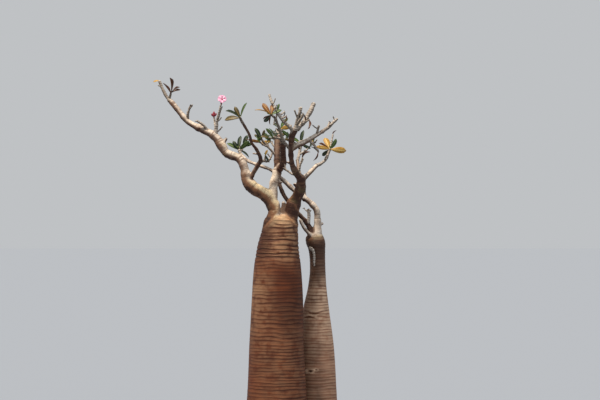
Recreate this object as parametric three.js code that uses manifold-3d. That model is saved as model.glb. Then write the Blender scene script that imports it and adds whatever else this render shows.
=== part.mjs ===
// A bottle tree: two swollen stems from one root, under an open crown of fleshy limbs
// that end in bare twigs, a few rosettes of leaves, dried leaves and one flower.
// Millimetres, +Z up. The origin is the middle of the main stem's flat foot, at ground level.
// X runs to the right and Y to the back, as the tree is first seen.

import * as THREE from "three";
import { mergeVertices } from "three/addons/utils/BufferGeometryUtils.js";
import Module from "manifold-3d";

const wasm = await Module();
wasm.setup();

// Driving sizes

const CLEARANCE = 0.3; // between two pieces that touch
const STEM_SIDES = 24;
const STEM_RING_SPACING = 80;
const THICK_LIMB = 20; // mean radius from which a limb has more sides
const THICK_LIMB_SIDES = 12;
const THIN_LIMB_SIDES = 8;
const RING_SPACING = 1.6; // rings along a limb, in radii
const LEAST_RING_SPACING = 36;
const TWIG_SIDES = 5;
const TWIGLET_SIDES = 3;
const TWIG_RING_SPACING = 44;
const LEAST_DETAIL = 0.05; // slivers that a cut or a join leaves are merged below this
const BUTTRESSES = 5; // swellings of the root flare
const BUTTRESS_DEPTH = 0.06; // share of the radius, at the foot
const BUTTRESS_HEIGHT = 110; // how fast they fade upwards
const TWIG_LIFT = 0.35; // how far a side twig turns up towards its end
const TWIG_TAPER = 0.72;
const TWIGLET_PLACE = [0.35, 0.85]; // shares of the stem that twiglets stand on
const TWIGLET_LEAN = 80; // most degrees to the left or the right
const TWIGLET_BACK = 55; // most degrees to the front or the back
const TWIGLET_LENGTH = [26, 52];
const TWIGLET_RADIUS = 4.6;
const LEAF_WIDTH = 0.3; // share of the leaf's length
const LEAF_THICKNESS = 0.03; // share of the leaf's length
const LEAF_WIDEST = 0.24; // how far past its middle a leaf is widest, in half lengths
const LEAF_ROOT = 6; // how deep a leaf is sunk into its twig
const LEAF_SPREAD = 35; // degrees that a leaf may swing to the front or the back
const LEAF_TWIST = [25, 75]; // degrees that its face turns from upright, to either side
const LEAF_TRIES = 8;
const PETALS = 5;
const PETAL_LENGTH = 26;
const PETAL_WIDTH = 0.85; // share of the petal's length
const PETAL_TILT = 0.18; // how far a petal leans forward
const FLOWER_TUBE = [40, 4.5, 9]; // length, radius at its foot, radius at its mouth
const FLOWER_HEADING = [12, -46]; // lean and turn to the back

// Colours of the bark and of the leafy ends
const BARK = { color: "#8a5a3e", roughness: 0.75 };
const PALE_BARK = { color: "#bda58c", roughness: 0.7 };
const TWIG_BARK = { color: "#a89a8e", roughness: 0.8 };
const LEAF = { color: "#5d6a2c", roughness: 0.6 };

// Stations along a limb are [right, back, up, radius]. The stems start below the ground
// plane, where their flat feet are cut.

const STEMS = [
  {
    names: ["main_stem"],
    dome: 46,
    stations: [
      [-6, 0, -40, 212],
      [-5, 0, 40, 199],
      [-3, 0, 240, 184],
      [-2, 0, 500, 171],
      [2, 0, 800, 160],
      [4, 0, 1000, 148],
      [7, 0, 1140, 131],
      [18, -2, 1240, 113],
      [30, -4, 1310, 100],
      [40, -5, 1358, 84],
    ],
  },
  {
    names: ["second_stem"],
    dome: 18,
    stations: [
      [248, 187, -40, 143],
      [249, 188, 30, 133],
      [254, 200, 220, 119],
      [250, 200, 520, 106],
      [245, 186, 740, 83],
      [251, 176, 880, 60],
      [254, 168, 990, 51],
      [249, 153, 1110, 54],
      [239, 146, 1172, 64],
      [242, 142, 1216, 54],
      [248, 140, 1240, 34],
    ],
  },
];

const BOUGHS = [
  {
    names: ["left_bough", "left_bough_middle", "left_bough_outer"],
    splits: [0.29, 0.53],
    stations: [
      [12, 0, 1280, 46],
      [-16, -5, 1364, 38],
      [-68, -10, 1450, 37],
      [-136, -15, 1494, 39],
      [-180, -13, 1537, 33],
      [-205, 0, 1631, 25],
      [-236, 12, 1681, 27],
      [-316, 25, 1717, 26],
      [-345, 31, 1762, 29],
      [-384, 40, 1817, 25],
      [-446, 55, 1854, 23],
      [-558, 95, 1916, 18.5],
      [-632, 120, 2003, 18],
      [-679, 135, 2058, 14],
    ],
  },
  {
    names: ["right_bough", "right_bough_upper"],
    splits: [0.53],
    stations: [
      [84, -8, 1275, 48],
      [102, -15, 1345, 40],
      [104, -28, 1400, 40],
      [130, -50, 1457, 32],
      [151, -75, 1505, 31],
      [146, -105, 1555, 25],
      [118, -135, 1590, 22],
      [99, -170, 1631, 18],
      [90, -205, 1674, 16],
      [85, -250, 1742, 15],
    ],
  },
  {
    names: ["middle_bough"],
    stations: [
      [-27, -2, 1400, 32],
      [-23, 18, 1488, 27],
      [-19, 35, 1531, 27],
      [-6, 50, 1575, 27],
      [6, 60, 1630, 25],
    ],
  },
  {
    names: ["inner_limb", "inner_limb_upper"],
    splits: [0.31],
    stations: [
      [-176, -15, 1530, 18],
      [-146, -25, 1593, 14],
      [-118, -38, 1642, 14],
      [-101, -50, 1674, 13],
      [-124, -78, 1736, 10],
      [-155, -105, 1778, 9],
      [-167, -135, 1823, 8.5],
      [-211, -180, 1903, 8],
    ],
  },
  {
    names: ["cut_limb"],
    flat: true,
    stations: [
      [4, 58, 1612, 22],
      [0, 88, 1690, 20],
      [0, 138, 1760, 19],
      [3, 196, 1826, 18],
    ],
  },
  {
    names: ["front_limb"],
    stations: [
      [8, 52, 1610, 22],
      [36, 25, 1650, 20],
      [38, -30, 1715, 19],
      [37, -78, 1786, 17],
    ],
  },
  {
    names: ["right_spread"],
    stations: [
      [84, -246, 1730, 14],
      [124, -243, 1761, 17],
      [161, -233, 1776, 16],
      [198, -220, 1795, 14],
      [242, -200, 1823, 13],
      [284, -183, 1848, 11],
    ],
  },
  {
    names: ["front_fork"],
    stations: [
      [85, -248, 1730, 14],
      [90, -265, 1798, 18],
      [99, -280, 1829, 20],
      [116, -290, 1860, 17],
    ],
  },
  {
    names: ["lower_right_limb"],
    stations: [
      [150, -92, 1540, 18],
      [180, -84, 1572, 14],
      [205, -70, 1597, 14],
      [248, -35, 1643, 13],
    ],
  },
  {
    names: ["second_bough", "crossing_limb", "left_reach"],
    splits: [0.27, 0.64],
    stations: [
      [252, 141, 1170, 28],
      [254, 140, 1228, 24],
      [251, 136, 1302, 21],
      [243, 129, 1366, 21],
      [198, 125, 1417, 17],
      [105, 118, 1488, 14],
      [25, 113, 1562, 13],
      [-40, 114, 1614, 10.5],
      [-130, 130, 1648, 9.5],
      [-190, 165, 1675, 9.3],
      [-236, 205, 1722, 8.5],
    ],
  },
  {
    names: ["back_limb"],
    stations: [
      [232, 138, 1168, 28],
      [192, 122, 1272, 16],
      [150, 116, 1322, 14],
      [95, 124, 1385, 13],
      [40, 146, 1460, 12.5],
      [8, 185, 1550, 12],
      [2, 245, 1640, 11],
      [12, 310, 1715, 10],
    ],
  },
  {
    names: ["back_right_limb"],
    stations: [
      [170, 123, 1430, 15],
      [160, 168, 1510, 13],
      [138, 235, 1595, 12],
      [126, 300, 1680, 10],
    ],
  },
  {
    names: ["low_stub"],
    stations: [
      [224, 122, 1176, 17],
      [196, 96, 1218, 12],
      [170, 84, 1250, 11],
      [141, 76, 1308, 9],
    ],
  },
  {
    names: ["fork_knob"],
    stations: [
      [50, -4, 1300, 15],
      [45, -12, 1382, 13],
      [41, -15, 1418, 11],
    ],
  },
];

// A mass is a stem that goes on from a limb, side twigs as [share of the stem, lean, back,
// length, radius], a number of twiglets placed by the seeded rule, and leaves as [kind, lean,
// length] round the stem's end, or round the end of the twig named fourth. Lean is in degrees
// from upright, negative to the left and past 90 hanging. Back is in degrees towards +Y.

const MASSES = [
  {
    name: "far_left_tip",
    seed: 3,
    stem: [
      [-672, 132, 2046, 11],
      [-701, 148, 2089, 9.5],
      [-725, 160, 2139, 8.5],
      [-741, 165, 2174, 7.5],
    ],
    twigs: [[0.08, 24, -20, 44, 8]],
    twiglets: 1,
    leaves: [
      ["yellow", -95, 42],
      ["dried", 8, 96, 0],
      ["dried", 34, 78, 0],
      ["dried", -8, 62, 0],
      ["dried", 58, 52, 0],
    ],
  },
  {
    name: "far_left_twig",
    seed: 5,
    stem: [
      [-558, 94, 1920, 10],
      [-553, 84, 1978, 7.5],
      [-536, 74, 2020, 5.5],
    ],
    twigs: [],
    twiglets: 1,
    leaves: [],
  },
  {
    name: "left_stub",
    seed: 7,
    stem: [
      [-424, 50, 1848, 10],
      [-446, 34, 1884, 8],
      [-472, 24, 1902, 6.5],
    ],
    twigs: [],
    twiglets: 1,
    leaves: [],
  },
  {
    name: "flower_twigs",
    seed: 9,
    flower: true,
    stem: [
      [-384, 40, 1822, 13],
      [-374, 26, 1902, 10],
      [-358, 6, 1968, 7.5],
      [-346, -12, 2018, 6],
    ],
    twigs: [
      [0.2, -12, 24, 92, 7],
      [0.1, 52, 12, 60, 5.5],
    ],
    twiglets: 2,
    leaves: [],
  },
  {
    name: "left_leaves",
    seed: 11,
    stem: [
      [-231, 200, 1714, 9],
      [-242, 214, 1742, 8.5],
    ],
    twigs: [[0.3, 30, 38, 54, 6]],
    twiglets: 1,
    leaves: [
      ["dark", 3, 108],
      ["green", -56, 92],
      ["dark", -34, 72],
      ["green", 51, 92],
      ["dark", 107, 88],
      ["dark", 20, 84, 0],
      ["green", 70, 70, 0],
    ],
  },
  {
    name: "inner_leaves",
    seed: 13,
    stem: [
      [-207, -176, 1896, 8.5],
      [-224, -190, 1930, 7.5],
    ],
    twigs: [],
    twiglets: 1,
    leaves: [
      ["dark", -49, 116],
      ["orange", -27, 74],
      ["green", 18, 100],
      ["olive", -88, 106],
    ],
  },
  {
    name: "inner_side_twigs",
    seed: 17,
    stem: [
      [-104, -48, 1662, 11],
      [-84, -42, 1668, 9],
      [-60, -34, 1664, 7],
      [-38, -28, 1690, 6],
      [-27, -20, 1726, 5],
    ],
    twigs: [[0.25, 8, -20, 40, 6]],
    twiglets: 1,
    leaves: [
      ["yellow", 17, 40, 0],
      ["dark", 150, 46, 0],
    ],
  },
  {
    name: "middle_leaves",
    seed: 19,
    stem: [
      [-8, 96, 1702, 9],
      [-37, 90, 1736, 7.5],
      [-64, 80, 1764, 7],
      [-100, 66, 1808, 6.5],
    ],
    twigs: [[0.55, -70, -24, 60, 6]],
    twiglets: 2,
    leaves: [
      ["dark", -28, 82],
      ["olive", -62, 60],
      ["orange", -76, 68, 0],
      ["olive", 24, 62],
      ["green", -20, 60, 0],
    ],
  },
  {
    name: "front_leaves",
    seed: 23,
    stem: [
      [40, -74, 1776, 12],
      [22, -98, 1803, 8.5],
      [-8, -122, 1808, 7.5],
      [-22, -136, 1812, 7],
    ],
    twigs: [[0.8, -98, -10, 44, 6]],
    twiglets: 2,
    leaves: [
      ["green", -61, 82],
      ["olive", -37, 66],
      ["green", -127, 46],
      ["dark", 40, 60],
      ["green", -70, 50, 0],
    ],
  },
  {
    name: "top_front_leaves",
    seed: 29,
    stem: [
      [76, -250, 1744, 10],
      [40, -270, 1790, 9.5],
      [25, -285, 1835, 9],
      [6, -310, 1891, 8],
      [-14, -332, 1932, 7],
      [-42, -345, 1958, 6],
    ],
    twigs: [
      [0.8, 8, 12, 60, 6],
      [0.86, -172, -10, 44, 5],
    ],
    twiglets: 2,
    leaves: [
      ["yellow", -64, 108],
      ["orange", -42, 90],
      ["orange", -8, 90],
      ["dark", -140, 76],
      ["dried", -170, 44],
      ["green", 16, 48, 0],
      ["green", 60, 74],
    ],
  },
  {
    name: "top_arc",
    seed: 31,
    stem: [
      [99, -284, 1830, 11],
      [87, -300, 1862, 10],
      [43, -318, 1906, 10],
      [3, -322, 1959, 9],
      [-31, -302, 2024, 8],
      [-46, -284, 2070, 6.5],
    ],
    twigs: [
      [0.42, 76, -30, 38, 6],
      [0.5, 66, 30, 48, 6],
    ],
    twiglets: 3,
    leaves: [
      ["dried", 176, 46, 0],
      ["dried", 168, 40, 1],
    ],
  },
  {
    name: "upper_twigs",
    seed: 37,
    stem: [
      [114, -292, 1852, 14],
      [130, -312, 1916, 12],
      [152, -330, 1990, 8],
    ],
    twigs: [
      [0.22, 38, -34, 92, 10],
      [0.5, -28, -28, 64, 6],
    ],
    twiglets: 4,
    leaves: [["dried", 150, 52, 0]],
  },
  {
    name: "ringed_twig",
    seed: 41,
    stem: [
      [124, -282, 1856, 14],
      [167, -262, 1906, 15],
      [204, -240, 1962, 14],
      [232, -214, 2020, 12],
    ],
    twigs: [[0.3, 78, -20, 40, 6]],
    twiglets: 3,
    leaves: [["dried", 168, 66, 0]],
  },
  {
    name: "right_tip",
    seed: 43,
    stem: [
      [278, -186, 1844, 11],
      [316, -170, 1872, 9.5],
      [344, -158, 1899, 8.5],
      [374, -144, 1928, 7],
    ],
    twigs: [[0.3, 24, 40, 58, 6]],
    twiglets: 2,
    leaves: [],
  },
  {
    name: "right_upright_twig",
    seed: 47,
    stem: [
      [243, -200, 1820, 9],
      [250, -204, 1850, 7],
      [258, -206, 1884, 6],
    ],
    twigs: [],
    twiglets: 1,
    leaves: [],
  },
  {
    name: "right_hanging_twig",
    seed: 53,
    stem: [
      [200, -222, 1792, 9],
      [226, -236, 1764, 7.5],
      [254, -244, 1724, 6.5],
    ],
    twigs: [],
    twiglets: 1,
    leaves: [["dried", 178, 70]],
  },
  {
    name: "right_leaves",
    seed: 59,
    stem: [
      [244, -38, 1639, 12],
      [273, -20, 1653, 9.5],
      [298, 0, 1674, 9],
      [315, 12, 1703, 8.5],
      [329, 25, 1742, 7.5],
    ],
    twigs: [[0.9, 6, 30, 118, 6.5]],
    twiglets: 2,
    leaves: [
      ["yellow", -23, 84],
      ["yellow", -78, 90],
      ["dried", -59, 80],
      ["green", 37, 84],
      ["yellow", 93, 114],
      ["green", -131, 60],
      ["dark", 50, 56, 0],
    ],
  },
  {
    name: "lower_side_twig",
    seed: 61,
    stem: [
      [130, -128, 1585, 8],
      [144, -128, 1638, 6],
      [158, -124, 1688, 5],
    ],
    twigs: [],
    twiglets: 1,
    leaves: [["dried", 16, 80]],
  },
  {
    name: "fork_twigs",
    seed: 67,
    stem: [
      [132, -128, 1580, 8],
      [92, -116, 1584, 6.5],
      [40, -98, 1586, 6],
    ],
    twigs: [[0.45, -44, 10, 62, 5]],
    twiglets: 1,
    leaves: [],
  },
  {
    name: "low_pale_twig",
    seed: 71,
    stem: [
      [194, 118, 1284, 11],
      [198, 110, 1322, 10],
      [196, 100, 1372, 8],
    ],
    twigs: [],
    twiglets: 1,
    leaves: [],
  },
  {
    name: "hooked_twig",
    seed: 89,
    stem: [
      [222, 124, 1112, 9],
      [206, 92, 1128, 8],
      [220, 78, 1120, 8],
      [230, 76, 1080, 7.5],
      [230, 80, 1012, 6],
    ],
    twigs: [],
    twiglets: 0,
    leaves: [],
  },
  {
    name: "cut_limb_leaves",
    seed: 73,
    stem: [
      [4, 190, 1812, 10],
      [14, 232, 1838, 8.5],
      [20, 272, 1874, 7.5],
    ],
    twigs: [[0.4, -30, 40, 62, 6]],
    twiglets: 2,
    leaves: [
      ["dark", -40, 86],
      ["green", 20, 92],
      ["yellow", 74, 84],
      ["dark", -96, 80],
      ["green", 130, 70],
    ],
  },
  {
    name: "back_leaves",
    seed: 79,
    stem: [
      [11, 306, 1710, 10],
      [4, 342, 1760, 8.5],
      [-14, 372, 1806, 7.5],
    ],
    twigs: [
      [0.35, -50, 30, 84, 7],
      [0.6, 58, 24, 74, 6],
    ],
    twiglets: 3,
    leaves: [
      ["dark", -64, 88],
      ["green", -14, 94],
      ["olive", 48, 84],
      ["dark", 110, 76],
      ["green", -40, 80, 0],
      ["yellow", -100, 74, 0],
      ["dark", 30, 84, 1],
      ["olive", 92, 70, 1],
    ],
  },
  {
    name: "back_right_leaves",
    seed: 83,
    stem: [
      [127, 296, 1674, 10],
      [140, 334, 1728, 8.5],
      [150, 352, 1784, 7.5],
    ],
    twigs: [
      [0.4, 60, 16, 92, 7],
      [0.7, -46, 34, 70, 6],
    ],
    twiglets: 3,
    leaves: [
      ["green", -52, 88],
      ["dark", 6, 96],
      ["yellow", 62, 84],
      ["dark", 118, 72],
      ["green", 20, 88, 0],
      ["dark", 96, 76, 0],
      ["olive", -70, 74, 1],
    ],
  },
];

const UP = new THREE.Vector3(0, 0, 1);
const radians = THREE.MathUtils.degToRad;

// Random numbers between 0 and 1, the same each time for the same seed.
function seeded(seed) {
  let state = seed;
  return () => {
    state = (state + 0x6d2b79f5) >>> 0;
    let mixed = Math.imul(state ^ (state >>> 15), state | 1);
    mixed ^= mixed + Math.imul(mixed ^ (mixed >>> 7), mixed | 61);
    return ((mixed ^ (mixed >>> 14)) >>> 0) / 4294967296;
  };
}

// A direction from its lean, right of upright, and its turn to the back, in degrees.
function heading(lean, back) {
  const across = new THREE.Vector3(Math.sin(radians(lean)), 0, Math.cos(radians(lean)));
  return across.setY(Math.tan(radians(back))).normalize();
}

// Keeps only the places of a geometry's corners, with shared corners merged.
function cornersOnly(geometry) {
  geometry.deleteAttribute("normal");
  geometry.deleteAttribute("uv");
  return mergeVertices(geometry);
}

function toSolid(geometry) {
  return new wasm.Manifold(
    new wasm.Mesh({
      numProp: 3,
      vertProperties: geometry.getAttribute("position").array,
      triVerts: new Uint32Array(geometry.index.array),
    }),
  );
}

function toGeometry(made) {
  const mesh = made.getMesh();
  const geometry = new THREE.BufferGeometry();
  geometry.setAttribute("position", new THREE.BufferAttribute(mesh.vertProperties, 3));
  geometry.setIndex(new THREE.BufferAttribute(mesh.triVerts, 1));
  geometry.computeVertexNormals();
  return geometry;
}

// The smooth line through a limb's stations, and its radius along that line.
function lineThrough(stations) {
  const places = stations.map(([right, back, up]) => new THREE.Vector3(right, back, up));
  const path = new THREE.CatmullRomCurve3(places, false, "centripetal");
  const girth = new THREE.SplineCurve(stations.map((s, i) => new THREE.Vector2(i, s[3])));
  return {
    length: path.getLength(),
    place: (share) => path.getPointAt(share),
    tangent: (share) => path.getTangentAt(share),
    radius: (share) => girth.getPoint(path.getUtoTmapping(share)).y,
  };
}

// The rings of a limb from one share of its line to another, closing in over a domed end.
function ringsAlong(line, { from, to, steps, dome }) {
  const domeShare = dome / line.length;
  const rings = [];
  for (let k = 0; k <= steps; k++) {
    rings.push({ share: THREE.MathUtils.lerp(from, to - domeShare, k / steps), girth: 1, lift: 0 });
  }
  if (dome > 0) {
    for (const angle of [radians(32), radians(62)]) {
      const lift = Math.sin(angle);
      rings.push({ share: to - domeShare * (1 - lift), girth: Math.cos(angle), lift });
    }
  }
  return rings;
}

// A closed limb: a cylinder's rings are laid along the line, each square to it. Swell makes
// it that much larger all over, to cut a neighbour clear of it. Flare shapes a stem's foot.
function limb(line, { sides, spacing, from = 0, to = 1, dome = 0, swell = 0, flare }) {
  const length = (to - from) * line.length - dome;
  const steps = Math.max(2, Math.round(length / spacing));
  const rings = ringsAlong(line, { from, to, steps, dome });
  const last = rings.length - 1;
  const tangents = rings.map((ring) => line.tangent(ring.share));
  const side = new THREE.Vector3(1, 0, 0);
  side.addScaledVector(tangents[0], -side.dot(tangents[0])).normalize();
  const sidesAlong = [side];
  for (let k = 1; k <= last; k++) {
    const turn = new THREE.Quaternion().setFromUnitVectors(tangents[k - 1], tangents[k]);
    sidesAlong.push(sidesAlong[k - 1].clone().applyQuaternion(turn));
  }
  const geometry = cornersOnly(new THREE.CylinderGeometry(1, 1, 1, sides, last));
  const corners = geometry.getAttribute("position");
  for (let i = 0; i < corners.count; i++) {
    const k = Math.round((corners.getY(i) + 0.5) * last);
    const [x, z] = [corners.getX(i), corners.getZ(i)];
    const isMiddle = Math.hypot(x, z) < 0.5;
    const atEnd = isMiddle && k === last;
    const { share, girth, lift } = rings[k];
    const place = line.place(atEnd ? to : share);
    const along = k === 0 ? -swell : swell * (k === last ? 1 : lift);
    place.addScaledVector(tangents[k], along);
    if (!isMiddle) {
      const shape = flare ? flare(Math.atan2(z, x), place.z) : 1;
      const radius = line.radius(share) * girth * shape + swell;
      const square = new THREE.Vector3().crossVectors(sidesAlong[k], tangents[k]);
      place.addScaledVector(sidesAlong[k], x * radius).addScaledVector(square, z * radius);
    }
    corners.setXYZ(i, place.x, place.y, place.z);
  }
  return toSolid(geometry);
}

function buttresses(angle, height) {
  const fade = Math.exp(-Math.max(height, 0) / BUTTRESS_HEIGHT);
  return 1 + BUTTRESS_DEPTH * fade * Math.cos(BUTTRESSES * angle);
}

function boxesMeet(one, other) {
  const [a, b] = [one.boundingBox(), other.boundingBox()];
  return [0, 1, 2].every((axis) => a.min[axis] <= b.max[axis] && b.min[axis] <= a.max[axis]);
}

function cutClear(made, cutters) {
  return cutters.reduce((left, cutter) => (boxesMeet(left, cutter) ? left.subtract(cutter) : left), made);
}

function touches(made, cutters) {
  return cutters.some((cutter) => boxesMeet(made, cutter) && !made.intersect(cutter).isEmpty());
}

// The largest body of a solid, tidied: loose scraps and sealed hollows are left out.
function largestBody(made) {
  const bodies = made.simplify(LEAST_DETAIL).decompose();
  return bodies.reduce((a, b) => (b.volume() > a.volume() ? b : a));
}

const tree = new THREE.Group();
tree.name = "bottle_tree";
const cutters = []; // every piece so far, swollen by the clearance

function addMesh(name, made, finish) {
  const mesh = new THREE.Mesh(toGeometry(made), new THREE.MeshStandardMaterial({ ...finish, metalness: 0 }));
  mesh.name = name;
  tree.add(mesh);
}

// A limb of one or more pieces, split across its line at the given shares.
function addLimb({ names, stations, splits = [], dome, flat }, finish, options) {
  const line = lineThrough(stations);
  const ends = [0, ...splits, 1];
  const halfGap = CLEARANCE / 2 / line.length;
  const swollen = [];
  names.forEach((name, i) => {
    const isLast = i === names.length - 1;
    const size = {
      from: ends[i] + (i > 0 ? halfGap : 0),
      to: ends[i + 1] - (isLast ? 0 : halfGap),
      dome: isLast && !flat ? dome ?? line.radius(1) : 0,
      ...options,
    };
    addMesh(name, largestBody(cutClear(limb(line, size), cutters)), finish);
    swollen.push(limb(line, { ...size, swell: CLEARANCE }));
  });
  cutters.push(...swollen);
}

// A side twig that starts at a place, heads one way and turns up towards its end.
function twigLine(start, towards, length, radius) {
  const middle = start.clone().addScaledVector(towards, length * 0.5);
  const end = middle.clone().addScaledVector(towards.clone().addScaledVector(UP, TWIG_LIFT).normalize(), length * 0.5);
  const stations = [start, middle, end].map((p, i) => [p.x, p.y, p.z, radius * (1 - (1 - TWIG_TAPER) * (i / 2))]);
  return lineThrough(stations);
}

// A leaf: a thin blade, widest past its middle, with its root sunk into the twig.
function leafBlade(root, towards, facing, length, width = LEAF_WIDTH) {
  const across = new THREE.Vector3().crossVectors(towards, facing).normalize();
  const face = new THREE.Vector3().crossVectors(across, towards);
  const half = (length + LEAF_ROOT) / 2;
  const middle = root.clone().addScaledVector(towards, half - LEAF_ROOT);
  const blade = cornersOnly(new THREE.OctahedronGeometry(1));
  const corners = blade.getAttribute("position");
  for (let i = 0; i < corners.count; i++) {
    const isSide = Math.abs(corners.getX(i)) > 0.5;
    const along = corners.getY(i) * half + (isSide ? LEAF_WIDEST * half : 0);
    const place = middle.clone().addScaledVector(towards, along);
    place.addScaledVector(across, (corners.getX(i) * width * length) / 2);
    place.addScaledVector(face, (corners.getZ(i) * LEAF_THICKNESS * length) / 2);
    corners.setXYZ(i, place.x, place.y, place.z);
  }
  return toSolid(blade);
}

// An open flower: a widening tube, with five petals spread round its mouth.
function flower(root, towards) {
  const [length, foot, mouth] = FLOWER_TUBE;
  const end = root.clone().addScaledVector(towards, length);
  const start = root.clone().addScaledVector(towards, -LEAF_ROOT);
  const tube = limb(
    lineThrough([[start.x, start.y, start.z, foot], [end.x, end.y, end.z, mouth]]),
    { sides: TWIG_SIDES, spacing: length, dome: 2 },
  );
  const side = new THREE.Vector3().crossVectors(towards, UP).normalize();
  const petals = Array.from({ length: PETALS }, (_, i) => {
    const out = side.clone().applyAxisAngle(towards, (i * 2 * Math.PI) / PETALS);
    const tilt = out.clone().addScaledVector(towards, PETAL_TILT).normalize();
    return leafBlade(end.clone().addScaledVector(out, LEAF_ROOT), tilt, towards, PETAL_LENGTH, PETAL_WIDTH);
  });
  return [tube, ...petals];
}

// A mass: its stem, side twigs, seeded twiglets, leaves and flower, fused into one body and
// cut clear of the limbs. What would touch another piece is turned, or left out.
function addMass({ name, seed, stem, twigs, twiglets, leaves, flower: hasFlower }) {
  const random = seeded(seed);
  const between = (low, high) => THREE.MathUtils.lerp(low, high, random());
  const stemLine = lineThrough(stem);
  const stemSize = { sides: TWIG_SIDES, spacing: TWIG_RING_SPACING, dome: stemLine.radius(1) };
  const pieces = [limb(stemLine, stemSize)];
  const lines = [stemLine];

  const twigOf = (line, radius, sides) =>
    limb(line, { sides, spacing: TWIG_RING_SPACING, dome: radius * TWIG_TAPER });
  for (const [share, lean, back, length, radius] of twigs) {
    const line = twigLine(stemLine.place(share), heading(lean, back), length, radius);
    lines.push(line);
    pieces.push(twigOf(line, radius, TWIG_SIDES));
  }
  for (let i = 0; i < twiglets; i++) {
    const start = stemLine.place(between(...TWIGLET_PLACE));
    const towards = heading(between(-TWIGLET_LEAN, TWIGLET_LEAN), between(-TWIGLET_BACK, TWIGLET_BACK));
    const line = twigLine(start, towards, between(...TWIGLET_LENGTH), TWIGLET_RADIUS);
    const twiglet = twigOf(line, TWIGLET_RADIUS, TWIGLET_SIDES);
    if (!touches(twiglet, cutters)) pieces.push(twiglet);
  }
  for (const [, lean, length, twig] of leaves) {
    const line = lines[twig === undefined ? 0 : twig + 1];
    for (let attempt = 0; attempt < LEAF_TRIES; attempt++) {
      const towards = heading(lean, between(-LEAF_SPREAD, LEAF_SPREAD));
      const twist = radians(between(...LEAF_TWIST)) * (random() < 0.5 ? -1 : 1);
      const facing = UP.clone().addScaledVector(towards, -UP.dot(towards) * 0.98).applyAxisAngle(towards, twist);
      const blade = leafBlade(line.place(1 - between(0, 4) / line.length), towards, facing, length);
      if (touches(blade, cutters)) continue;
      pieces.push(blade);
      break;
    }
  }
  if (hasFlower) pieces.push(...flower(stemLine.place(1), heading(...FLOWER_HEADING)));

  const fused = cutClear(wasm.Manifold.union(pieces), cutters);
  const body = largestBody(fused);
  addMesh(name, body, leaves.length ? LEAF : TWIG_BARK);
  cutters.push(body);
}

const groundBox = new THREE.BoxGeometry(2000, 2000, 400).translate(0, 0, -200);
cutters.push(toSolid(cornersOnly(groundBox)));
for (const stem of STEMS) {
  addLimb(stem, BARK, { sides: STEM_SIDES, spacing: STEM_RING_SPACING, flare: buttresses });
}
for (const bough of BOUGHS) {
  const girth = bough.stations.reduce((sum, s) => sum + s[3], 0) / bough.stations.length;
  const spacing = Math.max(LEAST_RING_SPACING, girth * RING_SPACING);
  addLimb(bough, PALE_BARK, { sides: girth < THICK_LIMB ? THIN_LIMB_SIDES : THICK_LIMB_SIDES, spacing });
}
for (const mass of MASSES) {
  addMass(mass);
}

export default tree;
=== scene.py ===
# %% [markdown]
# # Dressing a bottle tree
# This tree stores water in its two swollen stems and carries a sparse crown of fleshy limbs. The imported
# model is loaded before anything else, because it fixes every size and place: each piece below follows the
# lines of the solid that it stands for.

# %% Load the frame
import math

import bpy
import numpy as np
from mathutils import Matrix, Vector


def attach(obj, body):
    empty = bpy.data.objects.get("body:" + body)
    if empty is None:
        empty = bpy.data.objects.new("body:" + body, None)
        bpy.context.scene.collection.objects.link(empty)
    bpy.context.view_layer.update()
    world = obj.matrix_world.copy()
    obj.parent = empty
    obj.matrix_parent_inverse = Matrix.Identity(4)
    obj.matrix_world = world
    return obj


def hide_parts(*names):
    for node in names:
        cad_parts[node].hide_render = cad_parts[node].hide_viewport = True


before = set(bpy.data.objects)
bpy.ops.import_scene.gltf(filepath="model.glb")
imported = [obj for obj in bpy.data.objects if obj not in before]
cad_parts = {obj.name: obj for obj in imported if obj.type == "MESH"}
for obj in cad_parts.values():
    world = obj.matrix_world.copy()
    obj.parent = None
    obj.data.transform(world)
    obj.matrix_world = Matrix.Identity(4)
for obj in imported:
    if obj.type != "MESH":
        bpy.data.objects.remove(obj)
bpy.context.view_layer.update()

scene = bpy.context.scene
print("CAD nodes:", len(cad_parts))

# %% [markdown]
# ## Small tools
# Colours are picked as sRGB hex values, which is how a person reads them, but shaders want linear
# light, so one function turns them. One more function adds a node of any kind, sets its options
# and wires its inputs, which keeps every material and every Geometry Nodes tree short to read.

# %% Colours and nodes


def linear(hex_colour):
    """An sRGB hex colour as the linear red, green, blue and alpha that a shader uses."""
    channels = [int(hex_colour[i : i + 2], 16) / 255 for i in (1, 3, 5)]
    return [c / 12.92 if c <= 0.04045 else ((c + 0.055) / 1.055) ** 2.4 for c in channels] + [1.0]


def add_node(tree, kind, inputs=None, **options):
    """Adds a node; an input is a value, or another node's output to link."""
    node = tree.nodes.new(kind)
    for option, value in options.items():
        setattr(node, option, value)
    for key, value in (inputs or {}).items():
        if isinstance(value, bpy.types.NodeSocket):
            tree.links.new(value, node.inputs[key])
        else:
            node.inputs[key].default_value = value
    return node


def maths(tree, operation, *values):
    """The result of one step of arithmetic on numbers and other nodes' outputs."""
    return add_node(tree, "ShaderNodeMath", dict(enumerate(values)), operation=operation).outputs[0]


def plain_mesh(name, places, faces=(), edges=()):
    mesh = bpy.data.meshes.new(name)
    mesh.from_pydata([tuple(p) for p in places], [tuple(e) for e in edges], [tuple(f) for f in faces])
    mesh.update()
    return mesh


def add_piece(name, mesh, *materials):
    piece = bpy.data.objects.new(name, mesh)
    scene.collection.objects.link(piece)
    for made in materials:
        mesh.materials.append(made)
    return piece


def store(mesh, name, values, kind="FLOAT"):
    """Keeps a number, or a vector, for each corner of a mesh, for a material or a node tree."""
    layer = mesh.attributes.new(name, kind, "POINT")
    field = "vector" if kind == "FLOAT_VECTOR" else "value"
    layer.data.foreach_set(field, np.asarray(values, np.float32).ravel())


print("linear mid grey:", [round(c, 3) for c in linear("#808080")])

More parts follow.
